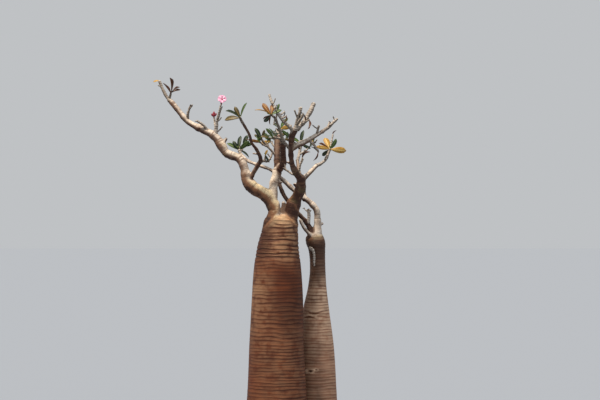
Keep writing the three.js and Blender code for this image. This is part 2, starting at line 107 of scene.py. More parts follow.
# %% [markdown]
# ## Camera, light and floor
# The tree was seen from a long way off with a long lens, so the camera stands far back and level,
# and the foot of the stems falls below the frame. Sun stood high and a little to the front, which
# lit the tops of the limbs and left their undersides dark. A soft box high above the camera does
# the same in a studio, and a pale surround fills the shade.

# %% Stage
PIXEL = 0.0062  # metres that one pixel covers at the tree
PICTURE_WIDTH = 600
PICTURE_HEIGHT = 400
STEM_PIXEL = 277  # how far the main stem's foot stands from the picture's left edge,
FOOT_PIXEL = 430  # and how far below its top edge, which is out of the frame
CAMERA_BACK = 16.0
SENSOR = 36.0
KEY_WAY = (0.30, 0.27, -1.0)  # the way that the key light shines
FILL_WAY = (-0.8, 1.0, -0.25)


def turn_to(thing, way):
    thing.rotation_euler = Vector(way).to_track_quat("-Z", "Y").to_euler()


def add_light(name, way, strength, softness, colour):
    """A broad far light: softness is how many degrees wide it looks from the tree."""
    lamp = bpy.data.lights.new(name, "SUN")
    lamp.energy = strength
    lamp.angle = math.radians(softness)
    lamp.color = linear(colour)[:3]
    light = bpy.data.objects.new(name, lamp)
    scene.collection.objects.link(light)
    turn_to(light, way)


lens = bpy.data.cameras.new("camera")
lens.sensor_width = SENSOR
lens.lens = SENSOR * CAMERA_BACK / (PICTURE_WIDTH * PIXEL)
lens.clip_end = 300
camera = bpy.data.objects.new("camera", lens)
scene.collection.objects.link(camera)
aside = (PICTURE_WIDTH / 2 - STEM_PIXEL) * PIXEL
eye_height = (FOOT_PIXEL - PICTURE_HEIGHT / 2) * PIXEL
camera.location = (aside, -CAMERA_BACK, eye_height)
turn_to(camera, (0, 1, 0))
scene.camera = camera

add_light("key", KEY_WAY, strength=5.4, softness=8, colour="#fff2df")
add_light("fill", FILL_WAY, strength=0.3, softness=40, colour="#e6eeff")

world = bpy.data.worlds.new("pale_surround")
world.use_nodes = True
surround = world.node_tree.nodes["Background"].inputs
surround["Color"].default_value = linear("#e6e9ec")
surround["Strength"].default_value = 0.66
scene.world = world
scene.view_settings.view_transform = "Standard"

FLOOR_REACH = 60
floor_corners = [(x * FLOOR_REACH, y * FLOOR_REACH, 0) for x, y in ((-1, -1), (1, -1), (1, 1), (-1, 1))]
floor_finish = bpy.data.materials.new("matt_plaster")  # even and chalky, so that it only takes shadows
floor_finish.use_nodes = True
plaster = floor_finish.node_tree.nodes["Principled BSDF"]
plaster.inputs["Base Color"].default_value = linear("#868d98")
plaster.inputs["Roughness"].default_value = 0.95
plaster.inputs["Specular IOR Level"].default_value = 0.0
add_piece("floor", plain_mesh("floor", floor_corners, [(0, 1, 2, 3)]), floor_finish)
print("camera", [round(v, 3) for v in camera.location], "lens", round(lens.lens, 1))

# %% [markdown]
# ## Noise and lines
# Everything on a plant is a little uneven, so a smooth random value over space is used again and
# again. Limbs and twigs are lines first: a few stations, each with a radius, joined by the same
# centripetal curve that the solids follow. Working from lines keeps the dressed limbs on them.

# %% Noise
WORD = 0xFFFFFFFF  # keeps whole numbers to 32 bits
# Large odd numbers that scramble a cell's place and a seed into a value with no pattern.
CELL_MIX = (73856093, 19349663, 83492791)
SEED_MIX = 9781
WORD_MIX = {13: 1274126177, 15: 2246822519}
SEED_SHIFT = 31.7  # how many cells one seed's noise lies from the next one's


def noise(places, size, seed=0):
    """Smooth random values from -1 to 1; one lump is about size across, in metres."""
    grid = np.asarray(places) / size + SEED_SHIFT * (seed + 1)
    cell = np.floor(grid).astype(np.int64)
    part = grid - cell
    ease = part * part * (3 - 2 * part)
    total = np.zeros(len(grid))
    for corner in np.ndindex(2, 2, 2):
        x, y, z = (cell + corner).T
        mixed = (x * CELL_MIX[0] ^ y * CELL_MIX[1] ^ z * CELL_MIX[2] ^ (seed * SEED_MIX + 5)) & WORD
        for shift, factor in WORD_MIX.items():
            mixed = ((mixed ^ (mixed >> shift)) * factor) & WORD
        share = np.prod(np.where(corner, ease, 1 - ease), axis=1)
        total += share * (((mixed ^ (mixed >> 16)) & 0xFFFF) / 32767.5 - 1)
    return total


def seeded(seed):
    """Random numbers between 0 and 1, drawn in the same order as the solids' own."""
    state = seed

    def draw():
        nonlocal state
        state = (state + 0x6D2B79F5) & WORD
        mixed = ((state ^ (state >> 15)) * (state | 1)) & WORD
        mixed ^= (mixed + (mixed ^ (mixed >> 7)) * (mixed | 61)) & WORD
        return (mixed ^ (mixed >> 14)) / 2**32

    return draw


def pick(draw, low, high):
    """The next random number, spread from low to high."""
    return low + (high - low) * draw()


print("first draws:", [round(seeded(3)(), 4), round(seeded(5)(), 4)])

# %% Lines
LINE_STEP = 0.004
CURVE_STEPS = 24  # how finely the curve between two stations is followed


def line_through(stations):
    """Rows of x, y, z and radius in metres, evenly spaced, from stations in millimetres."""
    rows = np.array(stations, float) / 1000
    rows = np.vstack([2 * rows[0] - rows[1], rows, 2 * rows[-1] - rows[-2]])
    traced = []
    for a, b, c, d in zip(rows, rows[1:], rows[2:], rows[3:]):
        spans = [np.linalg.norm(q[:3] - p[:3]) for p, q in ((a, b), (b, c), (c, d))]
        t0, t1, t2, t3 = np.cumsum([0, *(math.sqrt(max(span, 1e-6)) for span in spans)])
        t = np.linspace(t1, t2, CURVE_STEPS, endpoint=False)[:, None]
        ab = (a * (t1 - t) + b * (t - t0)) / (t1 - t0)
        bc = (b * (t2 - t) + c * (t - t1)) / (t2 - t1)
        cd = (c * (t3 - t) + d * (t - t2)) / (t3 - t2)
        abc = (ab * (t2 - t) + bc * (t - t0)) / (t2 - t0)
        bcd = (bc * (t3 - t) + cd * (t - t1)) / (t3 - t1)
        traced.append((abc * (t2 - t) + bcd * (t - t1)) / (t2 - t1))
    traced = np.vstack([*traced, rows[-2:-1]])
    reach = np.concatenate([[0], np.cumsum(np.linalg.norm(np.diff(traced[:, :3], axis=0), axis=1))])
    even = np.linspace(0, reach[-1], max(4, round(reach[-1] / LINE_STEP) + 1))
    return np.column_stack([np.interp(even, reach, column) for column in traced.T])


def length_of(line):
    return np.linalg.norm(line[1, :3] - line[0, :3]) * (len(line) - 1)


def along(line, share):
    """The row at a share of the line's length."""
    places = np.linspace(0, 1, len(line))
    return np.array([np.interp(share, places, column) for column in line.T])


def ways(line):
    """The direction that a line runs in, at each of its rows."""
    steps = np.gradient(line[:, :3], axis=0)
    return steps / np.linalg.norm(steps, axis=1)[:, None]


print("a line of", len(line_through([(0, 0, 0, 10), (50, 0, 100, 8)])), "rows")

# %% [markdown]
# ## The finishes of the bark
# The stems have a thin papery bark, tan to reddish brown, folded into rings where the swollen wood has
# settled. Limbs are smooth and creamy where the sun bleaches them and brown and greenish beneath, and their
# finish paints light from above onto their tops and shade onto their undersides as well. Pictures could
# carry these colours, but nothing would then tie them to the form. So both finishes read values that the
# meshes store: how deep in a fold a corner lies, how far it faces upwards, how thick its limb is, how far
# the sun has bleached it, and how much painted sunlight and painted shade it carries.

# %% Shared shader steps
MM = 1000.0  # a pattern's scale in repeats a metre is this over its size in millimetres


def new_material(name, roughness, specular=0.35):
    made = bpy.data.materials.new(name)
    made.use_nodes = True
    shader = made.node_tree.nodes["Principled BSDF"]
    shader.inputs["Roughness"].default_value = roughness
    shader.inputs["Specular IOR Level"].default_value = specular
    return made, made.node_tree, shader


def stored(tree, name):
    return add_node(tree, "ShaderNodeAttribute", attribute_name=name).outputs["Fac"]


def patches(tree, size, detail=3.0, stretch=(1, 1, 1)):
    """Noise whose lumps are size millimetres across, stretched along an axis."""
    place = add_node(tree, "ShaderNodeTexCoord").outputs["Object"]
    turned = add_node(tree, "ShaderNodeMapping", {"Vector": place, "Scale": [1 / s for s in stretch]})
    inputs = {"Vector": turned.outputs[0], "Scale": MM / size, "Detail": detail}
    return add_node(tree, "ShaderNodeTexNoise", inputs).outputs["Fac"]


def between(tree, value, low, high):
    """A value's rise from low to high as a smooth 0 to 1."""
    inputs = {"Value": value, "From Min": low, "From Max": high}
    node = add_node(tree, "ShaderNodeMapRange", inputs, interpolation_type="SMOOTHSTEP")
    return node.outputs["Result"]


def blend(tree, share, under, over):
    """One colour laid over another by a share; a colour is a hex value or a node's output."""
    under, over = (linear(c) if isinstance(c, str) else c for c in (under, over))
    # A mix node holds inputs for numbers and vectors too: its two colours are numbers 6 and 7.
    return add_node(tree, "ShaderNodeMix", {0: share, 6: under, 7: over}, data_type="RGBA").outputs[2]


def times(tree, a, b):
    return maths(tree, "MULTIPLY", a, b)


def mottle(tree, colour, other, size, detail, rise, strength, stretch=(1, 1, 1)):
    """A colour with patches of another: their size, where in the noise they set in, how strong."""
    mask = between(tree, patches(tree, size, detail, stretch), *rise)
    return blend(tree, times(tree, mask, strength), colour, other)


def add_bump(tree, shader, height, depth_mm, strength=0.6):
    inputs = {"Height": height, "Distance": depth_mm / MM, "Strength": strength}
    bump = add_node(tree, "ShaderNodeBump", inputs)
    tree.links.new(bump.outputs["Normal"], shader.inputs["Normal"])


print("one millimetre of pattern is a scale of", MM)

# %% Papery bark of the stems
# Patches of another colour: size in millimetres, detail, where they set in, strength and stretch.
BLOTCHES = (120, 2.0, (0.46, 0.72), 0.4, (1, 1, 1.8))
SINGLE_FOLDS = (24, 1.0, (0.4, 0.62), 0.35, (9, 9, 1))
FILMS = (4, 3.0, (0.5, 0.72), 0.2, (20, 20, 1))
CRACKS = (3.5, 3.0, (0.45, 0.3), 0.35, (24, 24, 1))


def stem_colour(tree, fold, body, crest, pale, dark):
    """Thin, dry bark that peels in films: dusty crests, deep folds, sun-bleached parts that are also
    painted paler as painted sunlight, and painted shade.
    """
    depth = stored(tree, "crest")
    colour = blend(tree, between(tree, depth, 0.1, 0.75), fold, body)
    crests = times(tree, between(tree, depth, 0.68, 0.97), between(tree, patches(tree, 60), 0.1, 0.6))
    colour = blend(tree, times(tree, crests, 0.85), colour, crest)
    colour = mottle(tree, colour, dark, *BLOTCHES)
    colour = mottle(tree, colour, dark, *SINGLE_FOLDS)
    # Sun-bleaching and painted sunlight: the stored value paints the bark paler, less so in its grooves.
    bleached = times(tree, stored(tree, "bleached"), between(tree, patches(tree, 45, 2.0), 0.2, 0.6))
    colour = blend(tree, times(tree, bleached, between(tree, depth, 0.35, 0.95)), colour, pale)
    colour = mottle(tree, colour, crest, *FILMS)
    colour = mottle(tree, colour, fold, *CRACKS)
    # Painted shade: the stored value darkens the bark towards the dark colour.
    return blend(tree, times(tree, stored(tree, "shaded"), 0.85), colour, dark)


print("stem bark takes its folds from the mesh")

# %% Smooth bark of the limbs
RUST = (42, 3.0, (0.5, 0.68), 0.55)
GREEN = (60, 2.0, (0.56, 0.72), 0.35)
SPECKS = (7, 3.0, (0.57, 0.68), 0.3)


def limb_colour(tree, top, top_thin, side, side_thin, under, fold):
    """Smooth living bark, bleached above and brown beneath, and painted paler above as light and darker
    beneath as shade, with a crack at each old leaf ring.
    """
    thick = stored(tree, "girth")
    waver = maths(tree, "MULTIPLY_ADD", patches(tree, 30), 0.5, -0.25)
    sky = maths(tree, "ADD", stored(tree, "sky"), waver)
    flank = blend(tree, thick, side_thin, side)
    # Painted light and shade, partly real bleaching: bark that faces up is painted paler, bark that faces
    # down darker.
    colour = blend(tree, between(tree, sky, -0.5, -0.02), under, flank)
    colour = blend(tree, between(tree, sky, -0.04, 0.42), colour, blend(tree, thick, top_thin, top))
    colour = mottle(tree, colour, flank, *RUST)
    colour = mottle(tree, colour, "#55502f", *GREEN)
    crack = between(tree, stored(tree, "crest"), 0.9, 0.3)
    colour = blend(tree, times(tree, crack, 0.75), colour, fold)
    return mottle(tree, colour, under, *SPECKS)


def bark(name, limb, marks, stem=None):
    """A finish for limbs, which turns into a stem's where the mesh says that it is one.

    Marks are the stored values that bring in one more plain colour: cut wood, or a dark bud.
    """
    made, tree, shader = new_material(name, roughness=0.66, specular=0.25)
    colour = limb_colour(tree, *limb)
    if stem:
        colour = blend(tree, stored(tree, "stem"), colour, stem_colour(tree, *stem))
    for mark, mark_colour in marks.items():
        colour = blend(tree, stored(tree, mark), colour, mark_colour)
    tree.links.new(colour, shader.inputs["Base Color"])
    add_bump(tree, shader, patches(tree, 5, 5.0, (2.5, 2.5, 1)), 1.3)
    return made


# Limb colours: top and thin top, bleached bark also painted paler as light from above; side and thin side;
# under, brown bark painted darker as shade beneath; and the ring cracks.
CREAM_LIMB = ("#dac5a0", "#cdbfb0", "#855c40", "#6c5648", "#3a2219", "#6a4a36")
GREY_TWIG = ("#bdb2a7", "#bfb5ab", "#75685c", "#6e6257", "#33291f", "#7c7065")
CUT_WOOD = {"cut": "#b59a74"}
DARK_BUD = {"tip": "#2b1d18"}
# Stem colours: fold, body, crest, pale for sun-bleaching and painted sunlight, and dark for dark blotches
# and painted shade.
RED_STEM = ("#3a1a0b", "#50240f", "#793f1e", "#cfa47c", "#34180b")
TAN_STEM = ("#825943", "#986a50", "#b68d70", "#d4b294", "#2a1710")
main_bark = bark("papery_bark_red", CREAM_LIMB, CUT_WOOD, RED_STEM)
second_bark = bark("papery_bark_tan", CREAM_LIMB, CUT_WOOD, TAN_STEM)
twig_bark = bark("smooth_bark_grey", GREY_TWIG, DARK_BUD)
print("bark finishes:", main_bark.name, second_bark.name, twig_bark.name)

# %% [markdown]
# ## The two stems
# A stem could be a lathed bottle with a noise bump, but its folds are the first thing that the
# eye reads, so they are real relief. The surface is a grid of level rings. Folds are laid at
# uneven heights, sag a little on their way round, and fade in and out, as wrinkles in a skin do.
# The rings lie along the folds, so a fold of a few millimetres stays crisp with few faces. The tables below
# say how the folds, the weathering and the painted light and shade change on the way up: wide swollen folds
# near the top, smooth bark between the boughs, and a neck on the second stem that is painted dark as
# painted shade.

# %% Where the stems stand
MAIN_STEM = [
    (-6, 0, -40, 212),
    (-5, 0, 40, 199),
    (-3, 0, 240, 184),
    (-2, 0, 500, 171),
    (2, 0, 800, 160),
    (4, 0, 1000, 148),
    (7, 0, 1140, 131),
    (18, -2, 1240, 113),
    (30, -4, 1310, 100),
    (40, -5, 1358, 84),
]
SECOND_STEM = [
    (248, 187, -40, 143),
    (249, 188, 30, 133),
    (254, 200, 220, 119),
    (250, 200, 520, 106),
    (245, 186, 740, 83),
    (251, 176, 880, 60),
    (254, 168, 990, 51),
    (249, 153, 1110, 54),
    (239, 146, 1172, 64),
    (242, 142, 1216, 54),
    (248, 140, 1240, 34),
]
print("stations up the stems:", len(MAIN_STEM), len(SECOND_STEM))

# %% How a stem changes on the way up
# Heights up a stem, and there the distance between folds, their depth, how broad their grooves are, how
# much they waver, how much paler the bark is (sun-bleaching and painted sunlight) and how much darker
# (painted shade), and how much paler as painted sunlight and how worn it is on its left flank. The bough
# shadow is how dark the painted shadow is under the bough that leans out to the left.
MAIN_FOLDS = {
    "height": [0.0, 0.36, 0.56, 0.62, 0.80, 0.87, 0.97, 1.04, 1.08, 1.20, 1.24, 1.28, 1.40],
    "gap": [0.022, 0.021, 0.022, 0.028, 0.028, 0.021, 0.020, 0.022, 0.026, 0.026, 0.025, 0.024, 0.024],
    "depth": [0.0016, 0.0016, 0.0016, 0.0016, 0.0014, 0.0010, 0.0008, 0.0009, 0.0080, 0.0076, 0.0046,
              0.0007, 0.0003],
    "breadth": [0.8, 0.8, 0.8, 0.8, 0.8, 0.7, 0.7, 0.8, 1.2, 1.2, 1.1, 0.9, 0.8],
    "waver": [0.34, 0.28, 0.28, 0.3, 0.3, 0.26, 0.26, 0.28, 0.32, 0.38, 0.38, 0.4, 0.4],
    "bleached": [0.1, 0.15, 0.15, 0.1, 0.05, 0.0, 0.0, 0.15, 0.42, 0.5, 0.55, 1.0, 1.0],
    "shaded": [0.1, 0.0, 0.0, 0.1, 0.3, 0.25, 0.15, 0.05, 0.0, 0.0, 0.0, 0.0, 0.0],
    "bough_shadow": 0.9,
    "flank": [0.0, 0.0, 0.1, 0.2, 0.42, 0.55, 0.2, 0.0, 0.0, 0.0, 0.0, 0.0, 0.0],
    "worn": [0.3, 0.4, 0.5, 0.5, 0.5, 0.5, 0.2, 0.0, 0.0, 0.0, 0.0, 0.0, 0.0],
    "line": line_through(MAIN_STEM),
}
# High on the second stem the painted shade stands for the crown's shadow on its neck.
SECOND_FOLDS = {
    "height": [0.0, 0.30, 0.45, 0.60, 0.88, 0.94, 1.10, 1.17, 1.22],
    "gap": [0.021, 0.019, 0.018, 0.019, 0.019, 0.017, 0.017, 0.018, 0.018],
    "depth": [0.0016, 0.0016, 0.0015, 0.0013, 0.0013, 0.0012, 0.0014, 0.0016, 0.0012],
    "breadth": [0.8, 0.8, 0.8, 0.7, 0.7, 0.8, 0.9, 1.0, 1.0],
    "waver": [0.34, 0.28, 0.28, 0.28, 0.3, 0.32, 0.4, 0.5, 0.5],
    "bleached": [0.1, 0.2, 0.25, 0.6, 1.0, 0.5, 0.0, 0.0, 0.05],
    "shaded": [0.3, 0.1, 0.0, 0.0, 0.05, 0.75, 0.95, 0.9, 0.6],
    "bough_shadow": 0.0,
    "flank": [0.0] * 9,
    "worn": [0.0] * 9,
    "line": line_through(SECOND_STEM),
}
print("deepest folds:", max(MAIN_FOLDS["depth"]), max(SECOND_FOLDS["depth"]), "m")

# %% The folds
FOLDS_REACH = 1.5  # the height up to which folds are laid
GAP_SPREAD = (0.82, 1.18)  # how far a fold's height strays from the table's, as shares of it
STRENGTH_SPREAD = (0.65, 1.0)  # how deep a groove is, as shares of the table's depth
UNDERSIDE = 0.15  # how far a groove's upper side runs, as a share of the fold above it
TOPSIDE = 0.32  # and its lower side, as a share of the fold below it
SHALLOW = 0.0012  # folds less deep than this fade out
FLAT_CREST = 0.78  # how high bark with no folds counts as lying
FOLD_SHIFT = 0.37  # metres between two folds in the noise that breaks them up
MAIN_SEED = 101
SECOND_SEED = 202


def fold_levels(folds, seed):
    """Uneven heights of the grooves between the folds, from the foot up, and how strong each is."""
    draw = seeded(seed)
    levels = [-0.05]
    while levels[-1] < FOLDS_REACH:
        gap = np.interp(levels[-1], folds["height"], folds["gap"])
        levels.append(levels[-1] + gap * pick(draw, *GAP_SPREAD))
    return np.array(levels), np.array([pick(draw, *STRENGTH_SPREAD) for _ in levels])


def fold_relief(places, folds, seed):
    """The relief of the folds in metres, and how high on its fold each corner lies, 0 to 1."""
    levels, strengths = fold_levels(folds, seed)
    heights = places[:, 2]
    tables = ("gap", "depth", "breadth", "waver")
    gap, depth, breadth, waver = (np.interp(heights, folds["height"], folds[key]) for key in tables)
    wander = noise(places * (1, 1, 2.4), 0.12, seed)
    wander += 0.5 * noise(places * (1, 1, 3.0), 0.045, seed + 1)
    level = heights + wander * gap * waver
    below = np.clip(np.searchsorted(levels, level) - 1, 0, len(levels) - 2)
    share = (level - levels[below]) / (levels[below + 1] - levels[below])
    groove = np.zeros(len(places))
    # A fold sags: its underside turns in at once, and its top leans back gently.
    for step, distance in ((0, share / UNDERSIDE), (1, (1 - share) / TOPSIDE)):
        around = np.column_stack([places[:, :2], (below + step) * FOLD_SHIFT])
        broken = np.clip(0.95 + 0.6 * noise(around, 0.09, seed + 2), 0.4, 1)
        groove += strengths[below + step] * broken * np.exp(-distance / breadth)
    between_folds = np.clip(noise(places * (1, 1, 0.4), 0.07, seed + 3), 0, 1)
    groove += 0.5 * between_folds * np.exp(-np.abs(share - 0.55) / 0.07)
    # Where the folds fade out, the bark is neither groove nor crest.
    folded = np.clip(depth / SHALLOW, 0, 1)
    return -depth * groove, np.clip(folded * (1 - groove) + (1 - folded) * FLAT_CREST, 0, 1)


print("grooves up the main stem:", len(fold_levels(MAIN_FOLDS, MAIN_SEED)[0]))

# %% [markdown]
# Thin bark is bleached by the sun, and on top of that light and shade are painted into it. A stored value
# says how pale each corner is, by sun-bleaching and painted sunlight, and another how dark, by painted
# shade and painted shadow, both by its height and the side that it faces, with ragged edges. Stems and
# limbs take them from one function, so that no seam shows where the limbs come out.

# %% Painted sun and shade, sun-bleaching and wear
SUNNY = (0.45, -0.89)  # the side of the stems painted palest, as sun-bleaching and painted sunlight
SUNLIT_FLANK = (-0.94, -0.34)  # where the main stem's flank faces that is painted paler as painted sunlight
SUNLIT_FLANK_EDGE = 0.3  # how far round from there that painted sunlight ends, as a cosine
BOUGH_SHADOW_HEIGHTS = (1.03, 1.16)  # heights between which the bough's painted shadow sets in
WORN_CREST = 0.68  # how high bark that is worn smooth counts as lying


def weather_and_painted_light(places, folds):
    """How pale the bark is painted (sun-bleaching and painted sunlight), how dark (painted shade and
    painted shadow) and how worn smooth it is: by height, ragged, and by its facing.
    """

    def table(key):
        return np.interp(height, folds["height"], folds[key])

    line = folds["line"]
    axis = [np.interp(places[:, 2], line[:, 2], line[:, i]) for i in (0, 1)]
    out = places[:, :2] - np.column_stack(axis)
    out /= np.maximum(np.linalg.norm(out, axis=1), 1e-6)[:, None]
    height = places[:, 2] + 0.035 * noise(places, 0.09, 7) + 0.02 * noise(places, 0.03, 8)
    sunny = np.clip(0.35 + 0.78 * (out @ SUNNY), 0.08, 1)
    bleached = sunny * table("bleached")
    # Painted sunlight, with some sun-bleaching: where the main stem swells out to the left, clear of its
    # own crown, it is painted paler where the low sun lights it.
    facing = np.clip(1.5 * (out @ SUNLIT_FLANK - SUNLIT_FLANK_EDGE), 0, 1)
    bleached += facing * table("flank")
    # Painted shadow: the bark under the bough that leans out to the left is painted dark where the bough's
    # shadow falls.
    to_left = np.clip(-0.2 - 1.9 * out[:, 0], 0, 1)
    painted_bough_shadow = to_left * np.interp(height, BOUGH_SHADOW_HEIGHTS, [0, folds["bough_shadow"]])
    return bleached, np.clip(table("shaded") + painted_bough_shadow, 0, 1), facing * table("worn")


def store_bark(mesh, places, folds, crest, stem, sky, girth, cut=0.0, lips=0.0):
    """Keeps all that the bark's finish reads."""
    bleached, shaded, worn = weather_and_painted_light(places, folds)
    crest = crest + worn * (WORN_CREST - crest)
    values = {"crest": crest, "stem": stem, "sky": sky, "girth": girth, "cut": cut,
              "bleached": np.clip(bleached + lips, 0, 1), "shaded": shaded}
    for name, value in values.items():
        store(mesh, name, np.broadcast_to(value, len(places)))


in_front = MAIN_FOLDS["line"][::60, :3] - (0, 0.1, 0)
print("bleached on the way up:", weather_and_painted_light(in_front, MAIN_FOLDS)[0].round(2))

# %% [markdown]
# A few marks belong to one place only. Where the second stem was squeezed it has two creases, and
# where it shed limbs it has two knots. Each is a hole with a swollen lip round it, laid over the
# folds, so that it is part of the same surface.

# %% Marks and bulges
# Marks on the second stem, as right, up, half width, half height, bow, pit and lip. The two
# without a bow are round knots.
STEM_MARKS = [
    (0.228, 0.719, 0.034, 0.0075, 0.004, 0.0070, 0.0080),
    (0.202, 0.694, 0.030, 0.0065, -0.004, 0.0060, 0.0060),
    (0.205, 0.358, 0.014, 0.0070, None, 0.0120, 0.0085),
    (0.244, 0.366, 0.009, 0.0040, None, 0.0050, 0.0020),
]
LIP_AT = 1.6  # how far from a mark's middle its lip stands, in half heights
BEHIND_FADE = 9.0  # marks are on the front, and this makes them nothing on the back
BULGE_SIZE = 0.13  # how broad the low bulges of the swollen wood are, and how high
BULGE_HEIGHT = 0.0035


def mark_on_stem(base, out, mark, seed):
    """A crease's or a knot's swollen lips and hole, 0 to 1 each, with their height and depth."""
    right, up, half_width, half_height, bow, pit, lip = mark
    across = (base[:, 0] - right) / half_width * (1 + 0.4 * noise(base, 0.014, seed + 8))
    level = (base[:, 2] - up) / half_height + 0.3 * noise(base, 0.03, seed + 6)
    behind = BEHIND_FADE * (out[:, 1] >= 0)
    if bow is None:
        fade = np.exp(-behind)
        level = np.hypot(level, across)
    else:
        fade = np.exp(-behind - across**2)
        level = level - bow / half_height * across**2
    swell = fade * np.exp(-((np.abs(level) - LIP_AT) ** 2) * 2.5)
    return swell, fade * np.exp(-(level**2) * 2), lip, pit


def stem_lumps(base, seed):
    """Low bulges of the swollen wood, in metres, which fade out under the limbs."""
    fade = np.interp(base[:, 2], [1.05, 1.2], [1, 0.3])
    return BULGE_HEIGHT * noise(base * (1, 1, 0.5), BULGE_SIZE, seed + 5) * fade


print("marks on the second stem:", len(STEM_MARKS))

# %% The surface of a stem
BUTTRESSES = 5  # soft ribs round the foot
BUTTRESS_DEPTH = 0.06  # a share of the stem's radius
BUTTRESS_HEIGHT = 0.11  # metres over which they fade out
STEM_ROW = 0.0022  # metres from one ring of the grid to the next
TUCK = 0.020  # the height over which a stem's top turns in under the limbs
TUCK_DEPTH = 0.018


def stem_surface(stations, top, columns, folds, seed, marks=()):
    """A stem's grid of level rings, closed at the flat foot and at the top."""
    line = line_through(stations)
    rows = max(2, round(top / STEM_ROW))
    heights = np.repeat(np.linspace(0, top, rows + 1), columns)
    turns = np.tile(np.linspace(0, 2 * math.pi, columns, endpoint=False), rows + 1)
    centre = [np.interp(heights, line[:, 2], line[:, i]) for i in (0, 1)]
    girth = np.interp(heights, line[:, 2], line[:, 3])
    girth = girth * (1 + BUTTRESS_DEPTH * np.exp(-heights / BUTTRESS_HEIGHT) * np.cos(BUTTRESSES * turns))
    out = np.column_stack([np.cos(turns), np.sin(turns), np.zeros(len(turns))])
    base = np.column_stack([*centre, heights]) + out * girth[:, None]
    relief, crest = fold_relief(base, folds, seed)
    relief = relief + stem_lumps(base, seed)
    lips = np.zeros(len(base))
    for mark in marks:
        swell, hole, height, depth = mark_on_stem(base, out, mark, seed)
        relief += height * swell - depth * hole
        crest = np.clip(crest + swell - 1.5 * hole, 0, 1)
        lips += swell
    tuck = np.clip((heights - top + TUCK) / TUCK, 0, 1)
    relief -= tuck**2 * TUCK_DEPTH
    places = base + out * relief[:, None]
    ends = [[centre[0][0], centre[1][0], 0], [centre[0][-1], centre[1][-1], top]]
    faces = []
    for row in range(rows):
        for column in range(columns):
            beside = (column + 1) % columns
            low, high = row * columns, (row + 1) * columns
            faces.append((low + column, low + beside, high + beside, high + column))
    last = rows * columns
    foot, tip = len(places), len(places) + 1
    faces += [(foot, (c + 1) % columns, c) for c in range(columns)]
    faces += [(tip, last + c, last + (c + 1) % columns) for c in range(columns)]
    return np.vstack([places, ends]), faces, np.append(crest, [1, 1]), np.append(lips, [0, 0])


print("rings in a metre of stem:", round(1 / STEM_ROW))

# %% Make the stems
MAIN_STEM_TOP = 1.222  # where a stem's own grid ends, under the skin of its limbs
SECOND_STEM_TOP = 1.160
MAIN_COLUMNS = 150  # corners round each ring of the grid
SECOND_COLUMNS = 110


def make_stem(name, finish, node, folds, surface):
    places, faces, crest, lips = surface
    mesh = plain_mesh(name, places, faces)
    store_bark(mesh, places, folds, crest, stem=1.0, sky=0.0, girth=1.0, lips=lips)
    mesh.shade_smooth()
    piece = add_piece(name, mesh, finish)
    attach(piece, "root")
    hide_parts(node)
    print(name, "faces:", len(mesh.polygons))
    return piece


main_surface = stem_surface(MAIN_STEM, MAIN_STEM_TOP, MAIN_COLUMNS, MAIN_FOLDS, MAIN_SEED)
second_surface = stem_surface(SECOND_STEM, SECOND_STEM_TOP, SECOND_COLUMNS, SECOND_FOLDS, SECOND_SEED,
                              STEM_MARKS)
make_stem("main_stem_bark", main_bark, "main_stem", MAIN_FOLDS, main_surface)
make_stem("second_stem_bark", second_bark, "second_stem", SECOND_FOLDS, second_surface)

# %% [markdown]
# ## Sweeping a round section along lines
# Limbs and twigs all start as a round section swept along a line whose radius changes. Geometry
# Nodes do that for every line at once: the lines come in as edges with a stored radius, ring
# scars swell and pinch the section, and a noise makes the bark uneven. The tree has named inputs,
# so thick limbs and thin twigs share it.

# %% Making and running a tree


def new_tree(name, sockets):
    tree = bpy.data.node_groups.new(name, "GeometryNodeTree")
    tree.interface.new_socket("Geometry", in_out="INPUT", socket_type="NodeSocketGeometry")
    for label, kind in sockets.items():
        tree.interface.new_socket(label, in_out="INPUT", socket_type="NodeSocket" + kind)
    tree.interface.new_socket("Geometry", in_out="OUTPUT", socket_type="NodeSocketGeometry")
    return tree, tree.nodes.new("NodeGroupInput").outputs, tree.nodes.new("NodeGroupOutput")


def geometry(tree, kind, inputs=None, **options):
    """Adds one step of a Geometry Nodes tree, and gives its first output."""
    return add_node(tree, "GeometryNode" + kind, inputs, **options).outputs[0]


def run_tree(name, mesh, tree, values):
    """Runs a tree on a mesh with the given inputs, and keeps the result as a plain mesh."""
    piece = add_piece(name, mesh)
    modifier = piece.modifiers.new("grow", "NODES")
    modifier.node_group = tree
    sockets = {s.name: s.identifier for s in tree.interface.items_tree if s.in_out == "INPUT"}
    for label, value in values.items():
        modifier[sockets[label]] = value
    return bake(piece)


def bake(piece):
    """Replaces a piece's mesh by what its modifiers make, and removes them."""
    piece.update_tag()
    graph = bpy.context.evaluated_depsgraph_get()
    made = bpy.data.meshes.new_from_object(piece.evaluated_get(graph), depsgraph=graph)
    piece.modifiers.clear()
    old, piece.data = piece.data, made
    made.name = piece.name
    bpy.data.meshes.remove(old)
    return piece


print("trees so far:", len(bpy.data.node_groups))

# %% The sweeping tree
SWEEP_INPUTS = {"Sides": "Int", "Ring gap": "Float", "Ring depth": "Float", "Lump size": "Float",
                "Lump depth": "Float", "Seed": "Float", "Material": "Material"}
sweep_tree, given, result = new_tree("sweep_along_lines", SWEEP_INPUTS)
RING_WANDER = 22.0  # how often in a metre the ring scars change their distance
RING_SHARPNESS = 3.0


def seeded_noise(scale):
    """The sweeping tree's own noise, which differs from seed to seed."""
    inputs = {"Scale": scale, "W": given["Seed"]}
    return add_node(sweep_tree, "ShaderNodeTexNoise", inputs, noise_dimensions="4D").outputs["Fac"]


